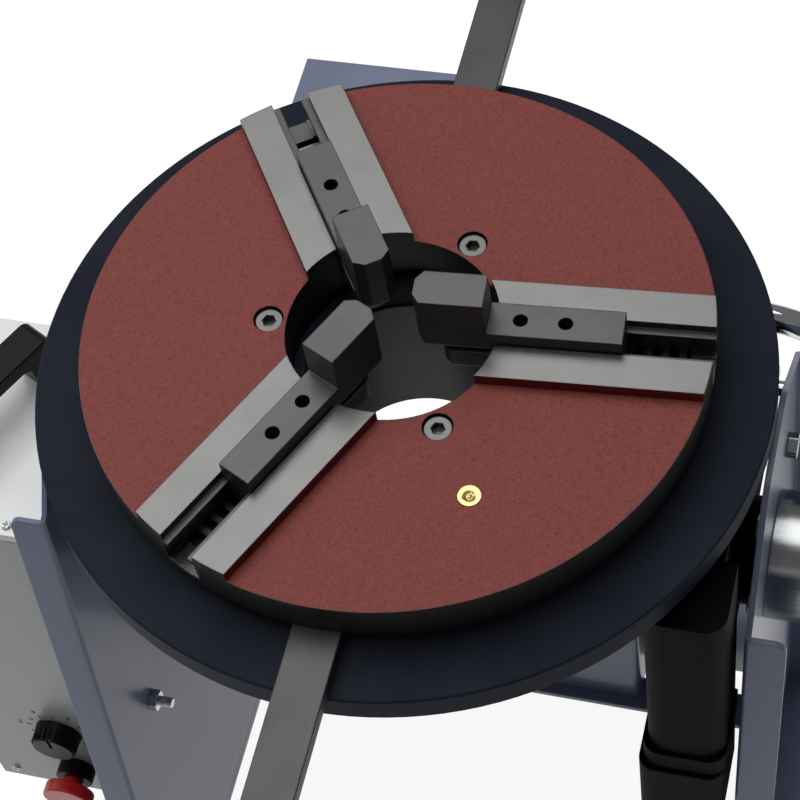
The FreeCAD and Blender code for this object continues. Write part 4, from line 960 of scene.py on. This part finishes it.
class POSITIONER_OT_cabinet(bpy.types.Operator):
    """Control cabinet with its handle and controls"""

    bl_idname = "positioner.cabinet"
    bl_label = "Control cabinet"

    def execute(self, context):
        dressed("control_cabinet", "cabinet paint", edges().sheet_edge)
        # Front panel in a darker grey: painted shade.
        dressed("cabinet_front_panel", "cabinet front paint", edges().sheet_edge)
        self.add_handle()
        dressed("stop_collar", "black plastic", KNOB_EDGE)
        dressed("stop_button", "red plastic", BUTTON_EDGE)
        dressed("speed_knob", "black plastic", KNOB_EDGE)
        self.add_screws()
        self.add_dial()
        return {"FINISHED"}

    def add_handle(self):
        """The bridge handle, slimmed and then turned about the middle of its far leg."""
        handle = dressed("cabinet_handle", "black plastic", HANDLE_EDGE)
        leg_y = high("cabinet_handle").y - HANDLE_LEG / 2
        far_leg = Vector((middle("cabinet_handle").x, leg_y, 0))
        handle.data.transform(Matrix.Translation(far_leg) @ HANDLE_TURN @ HANDLE_SLIM
                              @ Matrix.Translation(-far_leg))

    def add_screws(self):
        """Pan head screws round the front panel and along the lip of the top."""
        near, far = low("cabinet_front_panel"), high("cabinet_front_panel")
        corners = [(x, z, 0) for x in (near.x + SCREW_INSET, far.x - SCREW_INSET)
                   for z in (near.z + SCREW_INSET, far.z - SCREW_INSET)]
        repeated("front_panel_screws", "screws", "stand", "zinc",
                 Matrix.Translation((0, near.y, 0)) @ TO_MINUS_Y, corners)
        near, far = low("control_cabinet"), high("control_cabinet")
        lip = [(x, near.y + SCREW_INSET / 2, far.z)
               for x in (near.x + LIP_SCREW_LEFT, far.x - LIP_SCREW_RIGHT)]
        repeated("top_lip_screws", "screws", "stand", "zinc", Matrix(), lip)

    def add_dial(self):
        """Scale marks and plain numbers round the speed knob, and flutes on its skirt."""
        knob = middle("speed_knob")
        front = low("cabinet_front_panel").y
        face = Matrix.Translation((knob.x, front, knob.z)) @ TO_MINUS_Y
        gaps = DIAL_MARKS - 1
        repeated("speed_scale", "ring", "stand", "black plastic", face, Count=DIAL_MARKS,
                 Radius=MARK_REACH, Start=DIAL_START, Sweep=DIAL_SWEEP * DIAL_MARKS / gaps,
                 **MARK_SIZE)
        for number in range(0, DIAL_MARKS, 2):
            angle = DIAL_START + DIAL_SWEEP - DIAL_SWEEP * number / gaps
            spot = Vector((math.cos(angle), math.sin(angle), 0)) * NUMBER_REACH
            self.add_number(number, face @ Matrix.Translation(spot))
        skirt = Matrix.Translation((knob.x, low("speed_knob").y + FLUTE_SETBACK, knob.z))
        repeated("knob_flutes", "ring", "speed_knob", "black plastic", skirt @ TO_MINUS_Y,
                 **FLUTES)

    def add_number(self, number, place):
        """One number of the dial as a plain mesh."""
        name = "speed_number_%d" % number
        text = bpy.data.curves.new(name, "FONT")
        text.body = str(number)
        text.size = NUMBER_HEIGHT
        text.extrude = NUMBER_THICKNESS
        text.align_x = "CENTER"
        text.align_y = "CENTER"
        holder = add_object(name, text)
        mesh = bpy.data.meshes.new_from_object(holder)
        bpy.data.objects.remove(holder)
        bpy.data.curves.remove(text)
        mesh.transform(place)
        mesh.materials.clear()
        mesh.materials.append(material("black plastic"))
        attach(add_object(name, mesh), "stand")


# ---- stage ---------------------------------------------------------------------------------

# The camera: its place, the way its picture's right, top and back point, and its lens.
CAMERA_PLACE = Vector((0.24198, -0.56461, 1.42779))
CAMERA_RIGHT = Vector((0.95880394, 0.25036153, -0.13421666))
CAMERA_UP = Vector((-0.13997699, 0.82753284, 0.54368727))
CAMERA_BACK = Vector((0.24718707, -0.50250225, 0.8284866))
CAMERA_LENS = 101.04
CAMERA_SHIFT = (0.0736, 0.0077)
SENSOR_WIDTH = 36.0
NEAR_CLIP = 0.01

# The floor and the world: their level, and the share of the floor that glows white.
FLOOR_REACH = 6.0
FLOOR_TONE = (0.9, 0.9, 0.9, 1.0)
FLOOR_GLOW = 1.12
FLOOR_SHARE = 0.82
WORLD_LEVEL = 0.16

# Each lamp: its place, what it aims at, its size in metres and its power in watts.
LAMPS = {
    "overhead softbox": ((-0.5, 0.5, 2.5), (0.0, 0.0, 0.5), 2.2, 36.0),
    "left strip": ((-2.0, 0.2, 1.3), (0.0, 0.0, 0.4), 1.2, 8.0),
    "front fill": ((0.6, -2.2, 1.2), (0.0, 0.0, 0.4), 1.6, 1.6),
}


def add_camera():
    data = bpy.data.cameras.new("camera")
    data.lens = CAMERA_LENS
    data.sensor_width = SENSOR_WIDTH
    data.shift_x, data.shift_y = CAMERA_SHIFT
    data.clip_start = NEAR_CLIP
    camera = add_object("camera", data)
    turn = Matrix((CAMERA_RIGHT, CAMERA_UP, CAMERA_BACK)).transposed()
    camera.matrix_world = Matrix.Translation(CAMERA_PLACE) @ turn.to_4x4()
    bpy.context.scene.camera = camera


def add_lamp(name, place, target, size, power):
    data = bpy.data.lights.new(name, "AREA")
    data.size = size
    data.energy = power
    lamp = add_object(name, data)
    aim = (Vector(target) - Vector(place)).to_track_quat("-Z", "Y")
    lamp.matrix_world = Matrix.Translation(place) @ aim.to_matrix().to_4x4()


def white_where_seen(tree, shader):
    """Nearly white to the eye and in reflections, with a share of the shader for its shadow."""
    path = tree.nodes.new("ShaderNodeLightPath")
    seen = math_node(tree, "ADD", path.outputs["Is Camera Ray"], path.outputs["Is Glossy Ray"])
    seen = math_node(tree, "ADD", seen, path.outputs["Is Transmission Ray"], clamp=True)
    seen = math_node(tree, "MULTIPLY", seen, FLOOR_SHARE)
    glow = tree.nodes.new("ShaderNodeEmission")
    glow.inputs["Strength"].default_value = FLOOR_GLOW
    mix = tree.nodes.new("ShaderNodeMixShader")
    tree.links.new(seen, mix.inputs["Fac"])
    tree.links.new(shader, mix.inputs[1])
    tree.links.new(glow.outputs["Emission"], mix.inputs[2])
    return mix.outputs["Shader"]


class POSITIONER_OT_stage(bpy.types.Operator):
    """Pale floor, soft studio light and camera"""

    bl_idname = "positioner.stage"
    bl_label = "Stage"

    def execute(self, context):
        context.scene.view_settings.view_transform = "Standard"
        self.add_floor()
        self.add_world(context.scene)
        for name, (place, target, size, power) in LAMPS.items():
            add_lamp(name, place, target, size, power)
        add_camera()
        return {"FINISHED"}

    def add_floor(self):
        """A large pale sheet under the feet."""
        corners = [(-1, -1), (1, -1), (1, 1), (-1, 1)]
        mesh = bpy.data.meshes.new("floor")
        mesh.from_pydata([(x * FLOOR_REACH, y * FLOOR_REACH, 0) for x, y in corners], [],
                         [(0, 1, 2, 3)])
        floor = add_object("floor", mesh)
        surface, tree, shader = new_material("pale floor", 0.8)
        shader.inputs["Base Color"].default_value = FLOOR_TONE
        tree.links.new(white_where_seen(tree, shader.outputs["BSDF"]),
                       tree.nodes["Material Output"].inputs["Surface"])
        mesh.materials.append(surface)

    def add_world(self, scene):
        """White to the camera and dim to everything else."""
        scene.world = bpy.data.worlds.new("studio")
        scene.world.use_nodes = True
        tree = scene.world.node_tree
        background = tree.nodes["Background"]
        background.inputs["Color"].default_value = (1.0, 1.0, 1.0, 1.0)
        path = tree.nodes.new("ShaderNodeLightPath")
        seen = tree.nodes.new("ShaderNodeMapRange")
        seen.inputs["To Min"].default_value = WORLD_LEVEL
        tree.links.new(path.outputs["Is Camera Ray"], seen.inputs["Value"])
        tree.links.new(seen.outputs["Result"], background.inputs["Strength"])


# ---- add-on --------------------------------------------------------------------------------

PIECES = (POSITIONER_OT_stage, POSITIONER_OT_stand, POSITIONER_OT_cabinet, POSITIONER_OT_cradle,
          POSITIONER_OT_handwheel, POSITIONER_OT_table, POSITIONER_OT_chuck, POSITIONER_OT_jaws,
          POSITIONER_OT_scroll)


class POSITIONER_PT_panel(bpy.types.Panel):
    """Sidebar list of the positioner's pieces"""

    bl_idname = "POSITIONER_PT_panel"
    bl_label = "Welding Positioner"
    bl_space_type = "VIEW_3D"
    bl_region_type = "UI"
    bl_category = "Positioner"

    def draw(self, context):
        layout = self.layout
        for settings in (context.scene.positioner_colours, context.scene.positioner_edges):
            for name in settings.__annotations__:
                layout.prop(settings, name)
        for piece in PIECES:
            layout.operator(piece.bl_idname)


CLASSES = (FinishColours, EdgeSizes) + PIECES + (POSITIONER_PT_panel,)


def register():
    for item in CLASSES:
        bpy.utils.register_class(item)
    bpy.types.Scene.positioner_colours = bpy.props.PointerProperty(type=FinishColours)
    bpy.types.Scene.positioner_edges = bpy.props.PointerProperty(type=EdgeSizes)


def unregister():
    del bpy.types.Scene.positioner_colours
    del bpy.types.Scene.positioner_edges
    for item in reversed(CLASSES):
        bpy.utils.unregister_class(item)


def main():
    register()
    for piece in PIECES:
        family, action = piece.bl_idname.split(".")
        getattr(getattr(bpy.ops, family), action)()


if __name__ == "__main__":
    main()
